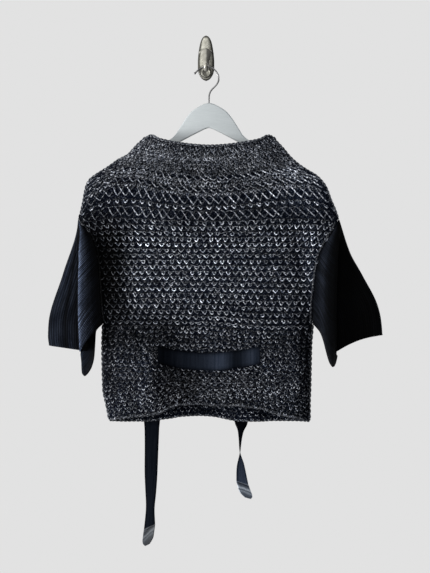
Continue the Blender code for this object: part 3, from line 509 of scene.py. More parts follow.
# ---------------------------------------------------------------- curves and meshes
def smooth(value, stations, readings):
    """Read a smooth curve through the readings that never overshoots them."""
    stations = np.asarray(stations, float)
    readings = np.asarray(readings, float)
    value = np.clip(value, stations[0], stations[-1])
    step = np.diff(stations)
    slope = np.diff(readings) / step
    tangent = np.concatenate(([slope[0]], np.zeros(len(step) - 1), [slope[-1]]))
    rising = slope[:-1] * slope[1:] > 0
    product = 2 * slope[:-1] * slope[1:]
    total = np.where(rising, slope[:-1] + slope[1:], 1.0)
    tangent[1:-1] = np.where(rising, product / total, 0.0)
    i = np.clip(np.searchsorted(stations, value, side="right") - 1, 0, len(step) - 1)
    t = (value - stations[i]) / step[i]
    start = (1 + 2 * t) * (1 - t) ** 2 * readings[i] + t * (1 - t) ** 2 * step[i] * tangent[i]
    end = t * t * (3 - 2 * t) * readings[i + 1] + t * t * (t - 1) * step[i] * tangent[i + 1]
    return start + end


def ease(value, low, high):
    """0 below low, 1 above high, and a soft step between."""
    t = np.clip((value - low) / (high - low), 0.0, 1.0)
    return t * t * (3 - 2 * t)


def bump(value, middle, half):
    """1 at the middle, falling softly to 0 a few halves away."""
    return np.exp(-(((value - middle) / half) ** 2))


def unit(vectors):
    length = np.linalg.norm(vectors, axis=-1, keepdims=True)
    return vectors / np.maximum(length, 1e-9)


def turns(count):
    """Even angles round a circle."""
    return np.arange(count) * 2 * math.pi / count


def run_length(points, axis=0):
    """Distance of each point along its line of points from the line's first one."""
    steps = np.diff(points, axis=axis, prepend=np.take(points, [0], axis=axis))
    return np.cumsum(np.linalg.norm(steps, axis=-1), axis=axis)


def ways_round(paths, outs, axis=0):
    """The ways across and up from a path at each of its points, square to its run."""
    runs = unit(np.gradient(paths, axis=axis))
    across = unit(np.cross(runs, outs))
    return across, np.cross(across, runs)


def read_route(rows, count):
    """Even shares of the way along a table of rows, and its columns read smoothly there."""
    share = np.linspace(0, len(rows) - 1, count)
    return share, [smooth(share, np.arange(len(rows)), column) for column in zip(*rows)]


def new_object(name, data):
    made = bpy.data.objects.new(name, data)
    bpy.context.scene.collection.objects.link(made)
    return made


def add_piece(name, points, faces, finish, uv=None, shade=None, angle=None):
    """A mesh piece from points in millimetres, which rides on the part's one body."""
    mesh = bpy.data.meshes.new(name)
    mesh.from_pydata((np.asarray(points) * MM).tolist(), [], faces)
    mesh.materials.append(finish)
    if uv is not None:
        corner = np.empty(len(mesh.loops), dtype=np.int32)
        mesh.loops.foreach_get("vertex_index", corner)
        layer = mesh.uv_layers.new(name="UVMap")
        layer.data.foreach_set("uv", np.asarray(uv, dtype=np.float32)[corner].ravel())
    if shade is not None:
        layer = mesh.attributes.new("shade", "FLOAT", "POINT")
        layer.data.foreach_set("value", np.asarray(shade, dtype=np.float32))
    mesh.shade_smooth()
    if angle:
        mesh.set_sharp_from_angle(angle=math.radians(angle))
    return placed(new_object(name, mesh))


def placed(made):
    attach(made, "root")
    return made


def grid_faces(rows, columns, start=0, flip=False, ring=False):
    """Quads between the points of a grid; ring joins its last column to its first."""
    r, c = np.meshgrid(np.arange(rows - 1), np.arange(columns if ring else columns - 1), indexing="ij")
    after = (c + 1) % columns
    quads = np.stack(
        (r * columns + c, r * columns + after, (r + 1) * columns + after, (r + 1) * columns + c), axis=-1
    ).reshape(-1, 4)
    if flip:
        quads = quads[:, ::-1]
    return quads + start


def end_caps(rings, sides):
    """The faces that close a tube's first and last rings."""
    last = (rings - 1) * sides
    return [list(range(sides))[::-1], list(range(last, last + sides))]


def closed_wall(outer, inner):
    """Points and faces of the wall between two grids."""
    rows, columns = outer.shape[:2]
    count = rows * columns
    points = np.concatenate((outer.reshape(-1, 3), inner.reshape(-1, 3)))
    index = np.arange(count).reshape(rows, columns)
    rim = np.concatenate((index[0, :], index[1:, -1], index[-1, -2::-1], index[-2:0:-1, 0]))
    after = np.roll(rim, -1)
    sides = np.stack((rim, rim + count, after + count, after), axis=-1)
    faces = np.concatenate((grid_faces(rows, columns), grid_faces(rows, columns, count, True), sides))
    return points, faces.tolist()


def tubes(paths, outs, radius, sides):
    """Round strands along paths (strand, point, xyz), with outs the directions off the cloth."""
    count, length = paths.shape[:2]
    across, up = ways_round(paths, outs, 1)
    turn = turns(sides)
    ring = across[:, :, None] * np.cos(turn)[:, None] + up[:, :, None] * np.sin(turn)[:, None]
    radius = np.broadcast_to(np.asarray(radius, float), (count, length))
    points = (paths[:, :, None] + radius[:, :, None, None] * ring).reshape(-1, 3)
    starts = (np.arange(count) * length * sides)[:, None]
    quads = (grid_faces(length, sides, ring=True)[None] + starts[..., None]).reshape(-1, 4)
    first_cap, last_cap = (np.array(cap) + starts for cap in end_caps(length, sides))
    faces = quads.tolist() + first_cap.tolist() + last_cap.tolist()
    along = run_length(paths, 1)[:, :, None]
    uv = np.stack(np.broadcast_arrays(along, turn / (2 * math.pi)), axis=-1).reshape(-1, 2)
    return points, faces, uv


# ---------------------------------------------------------------- materials
def node(tree, kind, feeds=None, **settings):
    """A shader node with its settings and with what feeds its inputs, a socket or a value."""
    made = tree.nodes.new("ShaderNode" + kind)
    for name, value in settings.items():
        setattr(made, name, value)
    for place, value in (feeds or {}).items():
        if isinstance(value, bpy.types.NodeSocket):
            tree.links.new(value, made.inputs[place])
        else:
            made.inputs[place].default_value = value
    return made


def maths(tree, operation, first, second=0.0):
    return node(tree, "Math", {0: first, 1: second}, operation=operation).outputs[0]


def summed(tree, *parts):
    """The sum of values, each times its factor."""
    terms = [value if factor == 1.0 else maths(tree, "MULTIPLY", value, factor) for value, factor in parts]
    total = terms[0]
    for term in terms[1:]:
        total = maths(tree, "ADD", total, term)
    return total


def wave(tree, value, pitch, operation):
    """The sine or cosine of a value that turns once in each pitch."""
    return maths(tree, operation, maths(tree, "MULTIPLY", value, 2 * math.pi / pitch))


def off_middle(tree, value):
    """A noise's value less its own middle."""
    return maths(tree, "SUBTRACT", value, 0.5)


def ramp(tree, value, stops):
    """A colour ramp; stops are (place, colour)."""
    made = node(tree, "ValToRGB", {0: value})
    elements = made.color_ramp.elements
    while len(elements) < len(stops):
        elements.new(0.5)
    for element, (place, colour) in zip(elements, stops):
        element.position = place
        element.color = (*colour, 1.0)
    return made.outputs[0]


def noise(tree, place, scale, detail=2.0, roughness=0.5):
    feeds = {"Vector": place, "Scale": scale, "Detail": detail, "Roughness": roughness}
    return node(tree, "TexNoise", feeds).outputs[0]


def stretched(tree, place, scale_up):
    """A place with its height scaled, for grain that runs up and down or across."""
    return node(tree, "Mapping", {"Vector": place, "Scale": (1.0, 1.0, scale_up)}).outputs[0]


def uv_of(tree):
    """The two parts of a piece's UV."""
    return node(tree, "SeparateXYZ", {0: node(tree, "UVMap", uv_map="UVMap").outputs[0]}).outputs[:2]


def new_material(name, roughness, metallic=0.0, specular=0.5, sheen=0.0):
    made = bpy.data.materials.new(name)
    made.use_nodes = True
    tree = made.node_tree
    shader = tree.nodes["Principled BSDF"]
    shader.inputs["Roughness"].default_value = roughness
    shader.inputs["Metallic"].default_value = metallic
    shader.inputs["Specular IOR Level"].default_value = specular
    shader.inputs["Sheen Weight"].default_value = sheen
    place = node(tree, "TexCoord").outputs["Object"]
    return made, tree, shader, place


def set_bump(tree, shader, height, strength, distance):
    made = node(tree, "Bump", {"Height": height, "Strength": strength, "Distance": distance})
    tree.links.new(made.outputs[0], shader.inputs["Normal"])


def set_colour(tree, shader, colour):
    tree.links.new(colour, shader.inputs["Base Color"])


def shade_of(tree):
    """How light a piece is at its points: its own tone, with the light and shade painted on it."""
    return node(tree, "Attribute", attribute_name="shade").outputs["Fac"]


def set_shaded_colour(tree, shader, colour, shade):
    """Sets the colour times the shade; a Mix node's colours are its inputs 6 and 7."""
    grey = node(tree, "CombineColor", {0: shade, 1: shade, 2: shade}).outputs[0]
    feeds = {0: 1.0, 6: colour, 7: grey}
    set_colour(tree, shader, node(tree, "Mix", feeds, data_type="RGBA", blend_type="MULTIPLY").outputs[2])


def yarn_material():
    """Two twisted plies, one darker, both flecked, times the stitch's shade: its own tone with painted light
    and shade.
    """
    made, tree, shader, place = new_material("marled_yarn", 0.9, specular=0.06)
    along, around = uv_of(tree)
    ply = wave(tree, summed(tree, (along, 1 / PLY_PITCH), (around, 1.0)), 1.0, "SINE")
    fleck = noise(tree, place, 420.0, roughness=0.6)
    patch = noise(tree, place, 60.0, detail=1.0)
    pale = summed(tree, (ply, 0.06), (fleck, 1.0), (off_middle(tree, patch), 0.15))
    set_shaded_colour(tree, shader, ramp(tree, pale, YARN_TONES), shade_of(tree))
    hair = noise(tree, place, 1400.0)
    set_bump(tree, shader, summed(tree, (ply, 0.6), (hair, 1.0)), strength=0.6, distance=0.0006)
    return made


def ground_material():
    """The dark inside of the knit between its strands, times the light and shade painted on the shell."""
    made, tree, shader, place = new_material("knit_ground", 0.95, specular=0.03)
    fleck = noise(tree, place, 380.0, detail=3.0, roughness=0.7)
    set_shaded_colour(tree, shader, ramp(tree, fleck, GROUND_TONES), shade_of(tree))
    set_bump(tree, shader, fleck, strength=0.8, distance=0.0012)
    return made


def rib_material():
    """Black rib knit: its UV runs round the sleeve from its outer edge and down it in millimetres."""
    made, tree, shader, place = new_material("black_rib", 0.9, specular=0.05, sheen=0.02)
    around, down = uv_of(tree)
    off_edge = maths(tree, "MULTIPLY", maths(tree, "ABSOLUTE", around), 1 / RIB_STRENGTH_REACH)
    rib = summed(tree, (wave(tree, around, RIB_PITCH, "COSINE"), 0.5), (0.5, 1.0))
    rib = maths(tree, "MULTIPLY", rib, ramp(tree, off_edge, RIB_STRENGTH))
    row = wave(tree, down, RIB_ROW, "COSINE")
    fuzz = noise(tree, place, 600.0, detail=3.0, roughness=0.7)
    worn = noise(tree, place, 30.0)
    colour = ramp(tree, summed(tree, (fuzz, 0.6), (worn, 0.4)), RIB_TONES)
    # long streaks, drawn out down the sleeve
    streak_place = node(tree, "CombineXYZ", {0: around, 1: maths(tree, "MULTIPLY", down, 0.06)}).outputs[0]
    streak = ramp(tree, noise(tree, streak_place, 0.22), RIB_STREAKS)
    # painted shade in the ribs' grooves, lighter on their crests, times the light and shade painted on the
    # piece
    light = summed(tree, (maths(tree, "MULTIPLY", rib, streak), 1.5), (0.20, 1.0))
    set_shaded_colour(tree, shader, colour, maths(tree, "MULTIPLY", shade_of(tree), light))
    height = summed(tree, (rib, 1.0), (row, 0.12), (fuzz, 0.3))
    set_bump(tree, shader, height, strength=1.0, distance=0.0013)
    return made


def tape_material():
    """Grosgrain: ribs across the tape, from its UV, which runs in millimetres."""
    made, tree, shader, place = new_material("grosgrain_tape", 0.8, specular=0.0)
    rib = wave(tree, uv_of(tree)[0], GROSGRAIN_PITCH, "SINE")
    fuzz = noise(tree, place, 700.0)
    streak = noise(tree, stretched(tree, place, 0.05), 260.0)
    tone = summed(tree, (fuzz, 0.4), (streak, 0.6))
    # the colour times the painted sheen and shade of the piece
    set_shaded_colour(tree, shader, ramp(tree, tone, TAPE_TONES), shade_of(tree))
    set_bump(tree, shader, summed(tree, (rib, 1.0), (fuzz, 0.3)), strength=0.35, distance=0.0003)
    return made


def leather_material():
    """Smooth leather with creases that run across it, their highlights painted pale."""
    made, tree, shader, place = new_material("black_leather", 0.42, specular=0.22)
    grain = node(tree, "TexVoronoi", {"Vector": place, "Scale": 900.0}).outputs["Distance"]
    worn = noise(tree, place, 60.0, detail=4.0, roughness=0.6)
    down = summed(tree, (uv_of(tree)[0], 1 / LEATHER_LONG), (off_middle(tree, worn), 0.2))
    set_shaded_colour(tree, shader, ramp(tree, down, LEATHER_PAINTED_HIGHLIGHTS), shade_of(tree))
    set_bump(tree, shader, grain, strength=0.25, distance=0.0002)
    return made


def wood_material():
    """Painted wood: thin pale paint with the grain just showing."""
    made, tree, shader, place = new_material("painted_wood", 0.5, specular=0.4)
    grain = noise(tree, stretched(tree, place, 7.0), 60.0, detail=5.0, roughness=0.6)
    patch = noise(tree, place, 18.0)
    set_colour(tree, shader, ramp(tree, summed(tree, (grain, 0.6), (patch, 0.4)), WOOD_TONES))
    set_bump(tree, shader, grain, strength=0.12, distance=0.0004)
    return made


def metal_material(name):
    """Cast or drawn metal, duller where it is worn, times the light and shade painted on its piece; below 1,
    metallic stands for a hazy finish.
    """
    dark, light, roughness, metallic = METALS[name]
    made, tree, shader, place = new_material(name, roughness, metallic=metallic)
    worn = noise(tree, place, 90.0, detail=3.0)
    colour = ramp(tree, worn, ((METAL_WORN[0], dark), (METAL_WORN[1], light)))
    set_shaded_colour(tree, shader, colour, shade_of(tree))
    rough = summed(tree, (worn, METAL_DULLER), (roughness - METAL_DULLER / 2, 1.0))
    tree.links.new(rough, shader.inputs["Roughness"])
    set_bump(tree, shader, worn, strength=0.06, distance=0.0004)
    return made


# ---------------------------------------------------------------- knit body
def crease_out(face, x, drop):
    """How far the creases move the cloth out at a place."""
    out = np.zeros_like(x, dtype=float)
    for from_x, from_drop, to_x, to_drop, half, height in CREASES[face]:
        run = np.array((to_x - from_x, to_drop - from_drop), float)
        share = ((x - from_x) * run[0] + (drop - from_drop) * run[1]) / run.dot(run)
        off = ((x - from_x) * run[1] - (drop - from_drop) * run[0]) / math.sqrt(run.dot(run))
        there = ease(share, *CREASE_ENDS[0]) * (1 - ease(share, *CREASE_ENDS[1]))
        out += height * bump(off, 0.0, half) * there
    return out


def body_size(name, drop):
    """One of the body's sizes at a drop."""
    return smooth(drop, BODY["drop"], BODY[name])


def hem_rise(face, x, drop):
    return ease(drop, HEM - HEM_REACH, HEM) * smooth(x, HEM_RISE["x"], HEM_RISE[face])


def body_place(face, across, drop, inset=0.0):
    """Points of the front or back: across runs from -1 to 1 between its side edges."""
    across, drop = np.broadcast_arrays(np.asarray(across, float), np.asarray(drop, float))
    armhole = body_size("armhole", drop)
    depth = body_size(face, drop)
    shut = 1 - np.minimum(1.0, armhole / ARMHOLE_TURN)
    left = body_size("left", drop) + inset * shut
    right = body_size("right", drop) - inset * shut
    x = (left + right) / 2 + across * (right - left) / 2
    size = np.minimum(np.abs(across), 1.0)
    edge = np.maximum(armhole * (1 if face == "front" else BACK_SHARE) - inset, SEAM_GAP / 2)
    full = 1 - size ** SIDE_ROUND
    away = np.sqrt(edge ** 2 * size ** EDGE_REACH + (depth - inset) ** 2 * full)
    for middle, low, wide, tall, out in FOLDS[face]:
        away = away + out * bump(x, middle, wide) * bump(drop, low, tall) * full
    away = away + crease_out(face, x, drop) * full
    dip = NECK_DIP * (1 - size ** NECK_DIP_ROUND)
    corner = NECK_CORNER * bump(size, *NECK_CORNER_AT) - NECK_CORNER_ROUND * size ** NECK_CORNER_SHARP
    z = -drop - dip * (1 - ease(drop, NECK_TOP, NECK_TOP + NECK_DIP_REACH))
    z = z + corner * (1 - ease(drop, NECK_TOP, NECK_TOP + NECK_CORNER_REACH))
    return np.stack((x, CLOTH_PLANE + SIGN[face] * away, z + hem_rise(face, x, drop)), axis=-1)


def body_surface_y(face, x, drop):
    left, right = body_size("left", drop), body_size("right", drop)
    return float(body_place(face, (2 * x - left - right) / (right - left), drop)[1])


def on_cloth(face, across, drop, out, inset=0.0):
    """Points out from the cloth's surface, and the directions in which they are out."""
    side = np.clip(across, -1 + PROBE_ACROSS, 1 - PROBE_ACROSS)
    left, right = (body_place(face, side + step, drop, inset) for step in (-PROBE_ACROSS, PROBE_ACROSS))
    above, below = (body_place(face, side, drop + step, inset) for step in (-PROBE_DROP, PROBE_DROP))
    normal = unit(np.cross(right - left, below - above)) * SIGN[face]
    return body_place(face, across, drop, inset) + normal * np.asarray(out)[..., None], normal


class Row:
    """A level line on a panel, measured along the cloth from the panel's middle."""

    def __init__(self, face, drop):
        self.face = face
        self.drop = drop
        self.places = np.sin(np.linspace(-1, 1, ROW_SAMPLES) * math.pi / 2)
        self.lengths = run_length(body_place(face, self.places, drop)[:, :2])
        self.lengths -= np.interp(0.0, self.places, self.lengths)
        self.low, self.high = self.lengths[[0, -1]]

    def at(self, along):
        """Across and x of places along the row."""
        across = np.interp(along, self.lengths, self.places)
        return across, body_place(self.face, across, self.drop)[..., 0]

    def patchy(self, along, values):
        """Values that change evenly from patch to patch along the row."""
        return np.interp(along, np.linspace(self.low, self.high, len(values)), values)


def under_tape(x, drop):
    """1 under the tape's band across the front, softly 0 beside it."""
    left, right = FRONT_SLITS
    past, short, beside = PRESS_FADES
    off = np.abs(drop - smooth(x, BAND_DROP["x"], BAND_DROP["drop"])) - TAPE_WIDTH / 2
    between = ease(x, left - past, left + short) * (1 - ease(x, right - short, right + past))
    return between * (1 - ease(off, 0.0, beside))


def tone_and_painted_light(face, x, drop):
    """How light the yarn is at a place, against the rest: its own tone, with painted light and shade."""
    light = np.ones_like(x)
    for middle, low, wide, tall, more in TONE_AND_PAINTED_LIGHT[face]:
        away = ((x - middle) / wide) ** 4 + ((drop - low) / tall) ** 4
        light = light + more * np.exp(-away)
    return np.maximum(light, LEAST_TONE_AND_PAINTED_LIGHT)


def row_bend(x, drop):
    """How far down a row lies below its own drop at a place across the panel."""
    rise = 0.0
    for bend in ROW_BENDS:
        rise = rise + smooth(drop, bend["drop"], bend["rise"]) * smooth(x, bend["x"], bend["share"])
    return -rise


def near_side(across):
    """1 at a panel's side edges, falling to 0 a little way in."""
    return np.abs(across) ** SIDE_SHARP


def pressed_in(kind, across, x, drop, taped):
    """How much deeper a strand lies at a panel's side edges, and under the tape where that is."""
    beside, under = PRESSED[kind]
    deeper = beside * near_side(across)
    if taped:
        deeper = deeper + under * under_tape(x, drop)
    return deeper


def stitch_rows(face, first, last):
    """The rows between two drops: the row, its kind, and by what share of a stitch it begins later."""
    drops = [(kind, drop) for kind, low, high, count in ROWS for drop in np.linspace(low, high, count)]
    for number, (kind, drop) in enumerate(drops):
        if first < drop < last:
            yield Row(face, drop), ROW_KINDS[kind], (number % 2) * 0.5


def stitch_middles(row, stitch, shift):
    """Where a row's stitches are along it."""
    count = int((row.high - row.low) / stitch) + 1
    middles = (np.arange(-count, count + 1) + shift) * stitch
    return middles[(middles > row.low + ROW_END * stitch) & (middles < row.high - ROW_END * stitch)]


def lay_stitches(face, first, last, inside=False):
    """Each row's V stitches between two drops: paths, ways off the cloth, radii and shades."""
    share = np.linspace(-1, 1, STITCH_POINTS)
    size = np.abs(share)
    behind = ease(share, *BEHIND_FROM)
    inset = BODY_WALL if inside else 0.0
    base_painted_light = INSIDE_PAINTED_LIGHT if inside else 1.0
    for row, kind, later in stitch_rows(face, first, last):
        taller, wider, more_lead, shift = chance.normal(0.0, 1.0, 4) * ROW_VARIED
        lead = max(0.0, kind.lead + more_lead)
        middles = stitch_middles(row, kind.stitch, later + shift)
        many = len(middles)
        wobble = chance.normal(0.0, 1.0, (many, 7))
        half = kind.wide / 2 * (1 + wider + STITCH_VARIED["wide"] * wobble[:, 0])
        tall = kind.tall * (1 + taller + STITCH_VARIED["tall"] * wobble[:, 1])
        drawn = np.clip(kind.closed * (DRAWN_MEAN + wobble[:, 2]), 0.0, DRAWN_MOST)
        sharp = 1 + np.clip(kind.rounded + STITCH_VARIED["round"] * wobble[:, 3], 0.0, 1.0)
        spread = share * (1 + drawn[:, None] * (DRAWN_SPREAD[0] - DRAWN_SPREAD[1] * size ** 3))
        across, x = row.at(middles[:, None] + kind.uneven * wobble[:, 4:5] + half[:, None] * spread)
        v = row.drop + row_bend(x, row.drop) + tall[:, None] * (0.5 - size ** sharp[:, None])
        v = v + kind.uneven * (STITCH_SHIFT * wobble[:, 5:6] + STITCH_TILT * wobble[:, 6:7] * share)
        v = np.clip(v, *STITCH_LIMITS)
        out = STRAND_OUT[0] + STRAND_OUT[1] * (1 - size ** 2) - STRAND_OUT[2] * size ** 9
        out = out - ARM_BEHIND * lead * behind * (1 - size ** 4)
        out = out - pressed_in("stitch", across, x, v, face == "front" and not inside)
        points, normal = on_cloth(face, across, v, -out if inside else out, inset)
        varying = np.minimum(np.exp(chance.normal(MEAN_LIGHT, kind.varied, many)), MOST_LIGHT)
        patches = row.patchy(middles, np.exp(chance.normal(0.0, PATCH_VARIED, PATCHES)))
        row_light = base_painted_light * kind.light * math.exp(chance.normal(0.0, ROW_LIGHT_VARIED))
        # the stitch's light: its row's and its own tone, with painted light and shade by place
        shade = row_light * varying * patches * tone_and_painted_light(face, x[:, STITCH_POINTS // 2], row.drop)
        radii = np.full(x.shape, kind.thick) * (1 - ENDS_THINNER * size ** 4)
        # the right arm, which lies behind, gets painted shade
        yield points, -normal if inside else normal, radii, shade[:, None] * (1 - BEHIND_ARM_PAINTED_SHADE * lead * behind)


def lay_bars(face, first, last):
    """Each row's wavy strand, which runs along the tops of its stitches."""
    for row, kind, later in stitch_rows(face, first, last):
        s = np.linspace(row.low + MARGIN / 2, row.high - MARGIN / 2, BAR_POINTS)
        across, x = row.at(s)
        wavy = np.cos((s / kind.stitch + later) * 2 * math.pi)
        wander = row.patchy(s, chance.normal(0.0, BAR_WANDER, BAR_WANDERS))
        v = row.drop - kind.tall / 2 + row_bend(x, row.drop) + BAR_WAVE[0] * wavy + wander
        v = np.clip(v, *BAR_LIMITS)
        out = -BAR_DEEP - BAR_WAVE[1] * wavy - pressed_in("bar", across, x, v, face == "front")
        points, normal = on_cloth(face, across, v, out)
        patches = row.patchy(s, chance.uniform(*BAR_LIGHT, BAR_PATCHES))
        varying = np.exp(chance.normal(0.0, BAR_VARIED, BAR_POINTS))
        # the bar's tone, with painted light and shade by place
        shade = patches * kind.light * tone_and_painted_light(face, x, row.drop) * varying
        yield points[None], normal[None], np.full((1, BAR_POINTS), BAR_RADIUS), shade[None]


def lay_tufts(face, first, last):
    """Each row's short dim strands, which show at all slants in the gaps between rows."""
    share = np.linspace(-1, 1, TUFT_POINTS)
    for row, kind, _ in stitch_rows(face, first, last):
        many = int((row.high - row.low) / TUFT_PITCH)
        spot = row.low + (np.arange(many) + chance.uniform(*TUFT_SPREAD, many)) * TUFT_PITCH
        tilt = chance.normal(0.0, TUFT_TILT, many)[:, None]
        half = chance.uniform(*TUFT_HALF, many)[:, None]
        bent = chance.normal(0.0, TUFT_BENT, many)[:, None]
        along = np.clip(spot[:, None] + half * share * np.cos(tilt), row.low + MARGIN, row.high - MARGIN)
        across, x = row.at(along)
        down = chance.normal(-kind.tall * TUFT_ABOVE, TUFT_STRAYS, many)[:, None]
        v = row.drop + row_bend(x, row.drop) + down + half * share * np.sin(tilt) + bent * share ** 2
        v = np.clip(v, *TUFT_LIMITS)
        out = -TUFT_OUT[0] - TUFT_OUT[1] * share ** 2 - pressed_in("tuft", across, x, v, face == "front")
        points, normal = on_cloth(face, across, v, out)
        varying = np.exp(chance.normal(*TUFT_VARIED, many))[:, None]
        # the tuft's tone, with painted light and shade by place
        shade = TUFT_LIGHT * kind.light * tone_and_painted_light(face, x, row.drop) * varying
        yield points, normal, np.full(x.shape, TUFT_RADIUS), shade


def add_strands(name, laid, finish, sides=STRAND_SIDES):
    """One piece of all the strands that are laid."""
    paths, outs, radii, shades = (np.concatenate(part) for part in zip(*laid))
    points, faces, uv = tubes(paths, outs, radii, sides)
    return add_piece(name, points, faces, finish, uv, np.repeat(shades.reshape(-1), sides))


def rope(kind, path, outs, tone=1.0):
    """Two strands twisted round a path: a cast-off edge or a seam."""
    light, swing, thick, pitch = ROPES[kind]
    across, up = ways_round(path, outs)
    strands = []
    for start in (0.0, math.pi):
        turn = run_length(path) / pitch * 2 * math.pi + start
        strands.append(path + (across * np.cos(turn)[:, None] + up * np.sin(turn)[:, None]) * swing)
    strands = np.stack(strands)
    varying = np.exp(chance.normal(0.0, ROPE_VARIED, strands.shape[:2]))
    # light is the rope kind's light with its painted shade; tone, the panel's tone with painted light and
    # shade
    return strands, np.stack((outs, outs)), np.full(strands.shape[:2], thick), light * tone * varying


def edge_line(face, drop):
    """A line along a panel's neck edge or hem, in the middle of its wall, with the ways out of it."""
    row = Row(face, drop)
    across, x = row.at(np.arange(row.low + MARGIN / 2, row.high - MARGIN / 2, EDGE_STEP))
    return on_cloth(face, across, np.full(len(x), drop), np.zeros(len(x)), BODY_WALL / 2)


def side_line(side, first, last):
    """A line down a side seam, with the ways out of it."""
    drops = np.arange(first, last, SEAM_STEP)
    x = body_size(side, drops)
    z = hem_rise("front", x, drops) - drops
    points = np.stack((x, np.full(len(drops), CLOTH_PLANE), z), axis=1)
    return points, np.broadcast_to((SIGN[side], 0.0, 0.0), points.shape)


def armhole_line(face, side):
    """A line down a panel's armhole edge, with the ways out of it."""
    drops = np.arange(ARMHOLE_TOP + 2 * MARGIN, ARMHOLE_END - 2 * MARGIN, SEAM_STEP)
    across = np.full(len(drops), SIGN[side] * ARMHOLE_SEAM)
    return on_cloth(face, across, drops, np.zeros(len(drops)))


def seam_lines():
    """The seams' names, each with its line and the ways out of it."""
    for side in ("left", "right"):
        yield f"shoulder_{side}", side_line(side, NECK_TOP + MARGIN, ARMHOLE_TOP)
        yield f"side_{side}", side_line(side, ARMHOLE_END + MARGIN, HEM - MARGIN / 2)
        for face in ("front", "back"):
            yield f"armhole_{side}_{face}", armhole_line(face, side)


def make_seams(yarn):
    """Twisted strands down the shoulders, the sides and the armholes."""
    pieces = []
    for name, (line, outs) in seam_lines():
        # tone: the front's own tone with painted light and shade
        tone = tone_and_painted_light("front", line[:, 0], -line[:, 2])
        pieces.append(add_strands(f"seam_{name}", [rope(name.split("_")[0], line, outs, tone)], yarn))
    return pieces


def make_shell(face, ground):
    """A panel's thin dark shell, which its strands lie on."""
    even = np.linspace(-1, 1, SHELL_COLUMNS)
    across = np.sin(even * math.pi / 2)[None] * SHELL_CROWDING + even[None] * (1 - SHELL_CROWDING)
    drops = np.linspace(NECK_TOP, HEM, SHELL_ROWS)[:, None]
    set_in = SHELL_SET_IN + (SHELL_EDGE_SET_IN - SHELL_SET_IN) * near_side(across)
    outer, inner = (body_place(face, across, drops, inset) for inset in (set_in, BODY_WALL))
    if face == "back":
        outer, inner = outer[:, ::-1], inner[:, ::-1]
    # the shell's own tone with painted light and shade, made stronger by a power
    light = tone_and_painted_light(face, outer[..., 0], -outer[..., 2]).reshape(-1) ** GROUND_CONTRAST
    points, faces = closed_wall(outer, inner)
    shell = add_piece(f"knit_{face}", points, faces, ground, shade=np.tile(light, 2))
    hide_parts(f"body_{face}")
    return shell


def make_panel(face, yarn, ground):
    """One knit panel: its shell, its stitches, the bars between them and its edges."""
    shell = make_shell(face, ground)
    pieces = [
        add_strands(f"stitches_{face}", lay_stitches(face, *KNITTED), yarn),
        add_strands(f"bars_{face}", lay_bars(face, *KNITTED), yarn, BAR_SIDES),
        add_strands(f"tufts_{face}", lay_tufts(face, *TUFTED), yarn, TUFT_SIDES),
    ]
    inside = [row for span in INSIDE_SHOWS[face] for row in lay_stitches(face, *span, inside=True)]
    pieces.append(add_strands(f"inner_stitches_{face}", inside, yarn))
    for edge, drop in (("neck", NECK_TOP + MARGIN / 2), ("hem", HEM - MARGIN / 2)):
        line, outs = edge_line(face, drop)
        pieces.append(add_strands(f"{edge}_edge_{face}", [rope(edge, line, outs)], yarn))
    return shell, pieces


# ---------------------------------------------------------------- sleeves
def seam_drop(down):
    return ARMHOLE_TOP + down * (ARMHOLE_END - ARMHOLE_TOP)


def layer_point(cut, foot, layer, along, down):
    """x and drop of a place on one layer of a sleeve's pleat."""
    if layer == "flap":
        fold_drop = cut["fold"]["drop"]
        drop_fold = fold_drop[0] + down * (fold_drop[-1] - fold_drop[0])
        drop_seam = seam_drop(down)
        fold_x = smooth(drop_fold, fold_drop, cut["fold"]["x"])
        seam_x = body_size(cut["side"], drop_seam) + SIGN[cut["side"]] * SEAM_GAP
        x = (1 - along) * fold_x + along * seam_x
        drop = (1 - along) * drop_fold + along * drop_seam
        x_end = (1 - along) * cut["fold"]["x"][-1] + along * foot["x"][-1]
        drop_end = (1 - along) * fold_drop[-1] + along * ARMHOLE_END
        x = x + down ** 2 * (smooth(along, foot["across"], foot["x"]) - x_end)
        drop = drop + down ** 2 * (smooth(along, foot["across"], foot["drop"]) - drop_end)
        return x, drop
    places = []
    for name in ("fold", "hidden") if layer == "under" else ("hidden", "outer"):
        line = cut[name]
        drop = line["drop"][0] + down * (line["drop"][-1] - line["drop"][0])
        places.append((smooth(drop, line["drop"], line["x"]), drop))
    x, drop = ((1 - along) * near + along * far for near, far in zip(*places))
    rise = cut["foot_rise"] * math.sin(math.pi * along) if layer == "outer" else 0.0
    return x, drop - rise * down ** 4


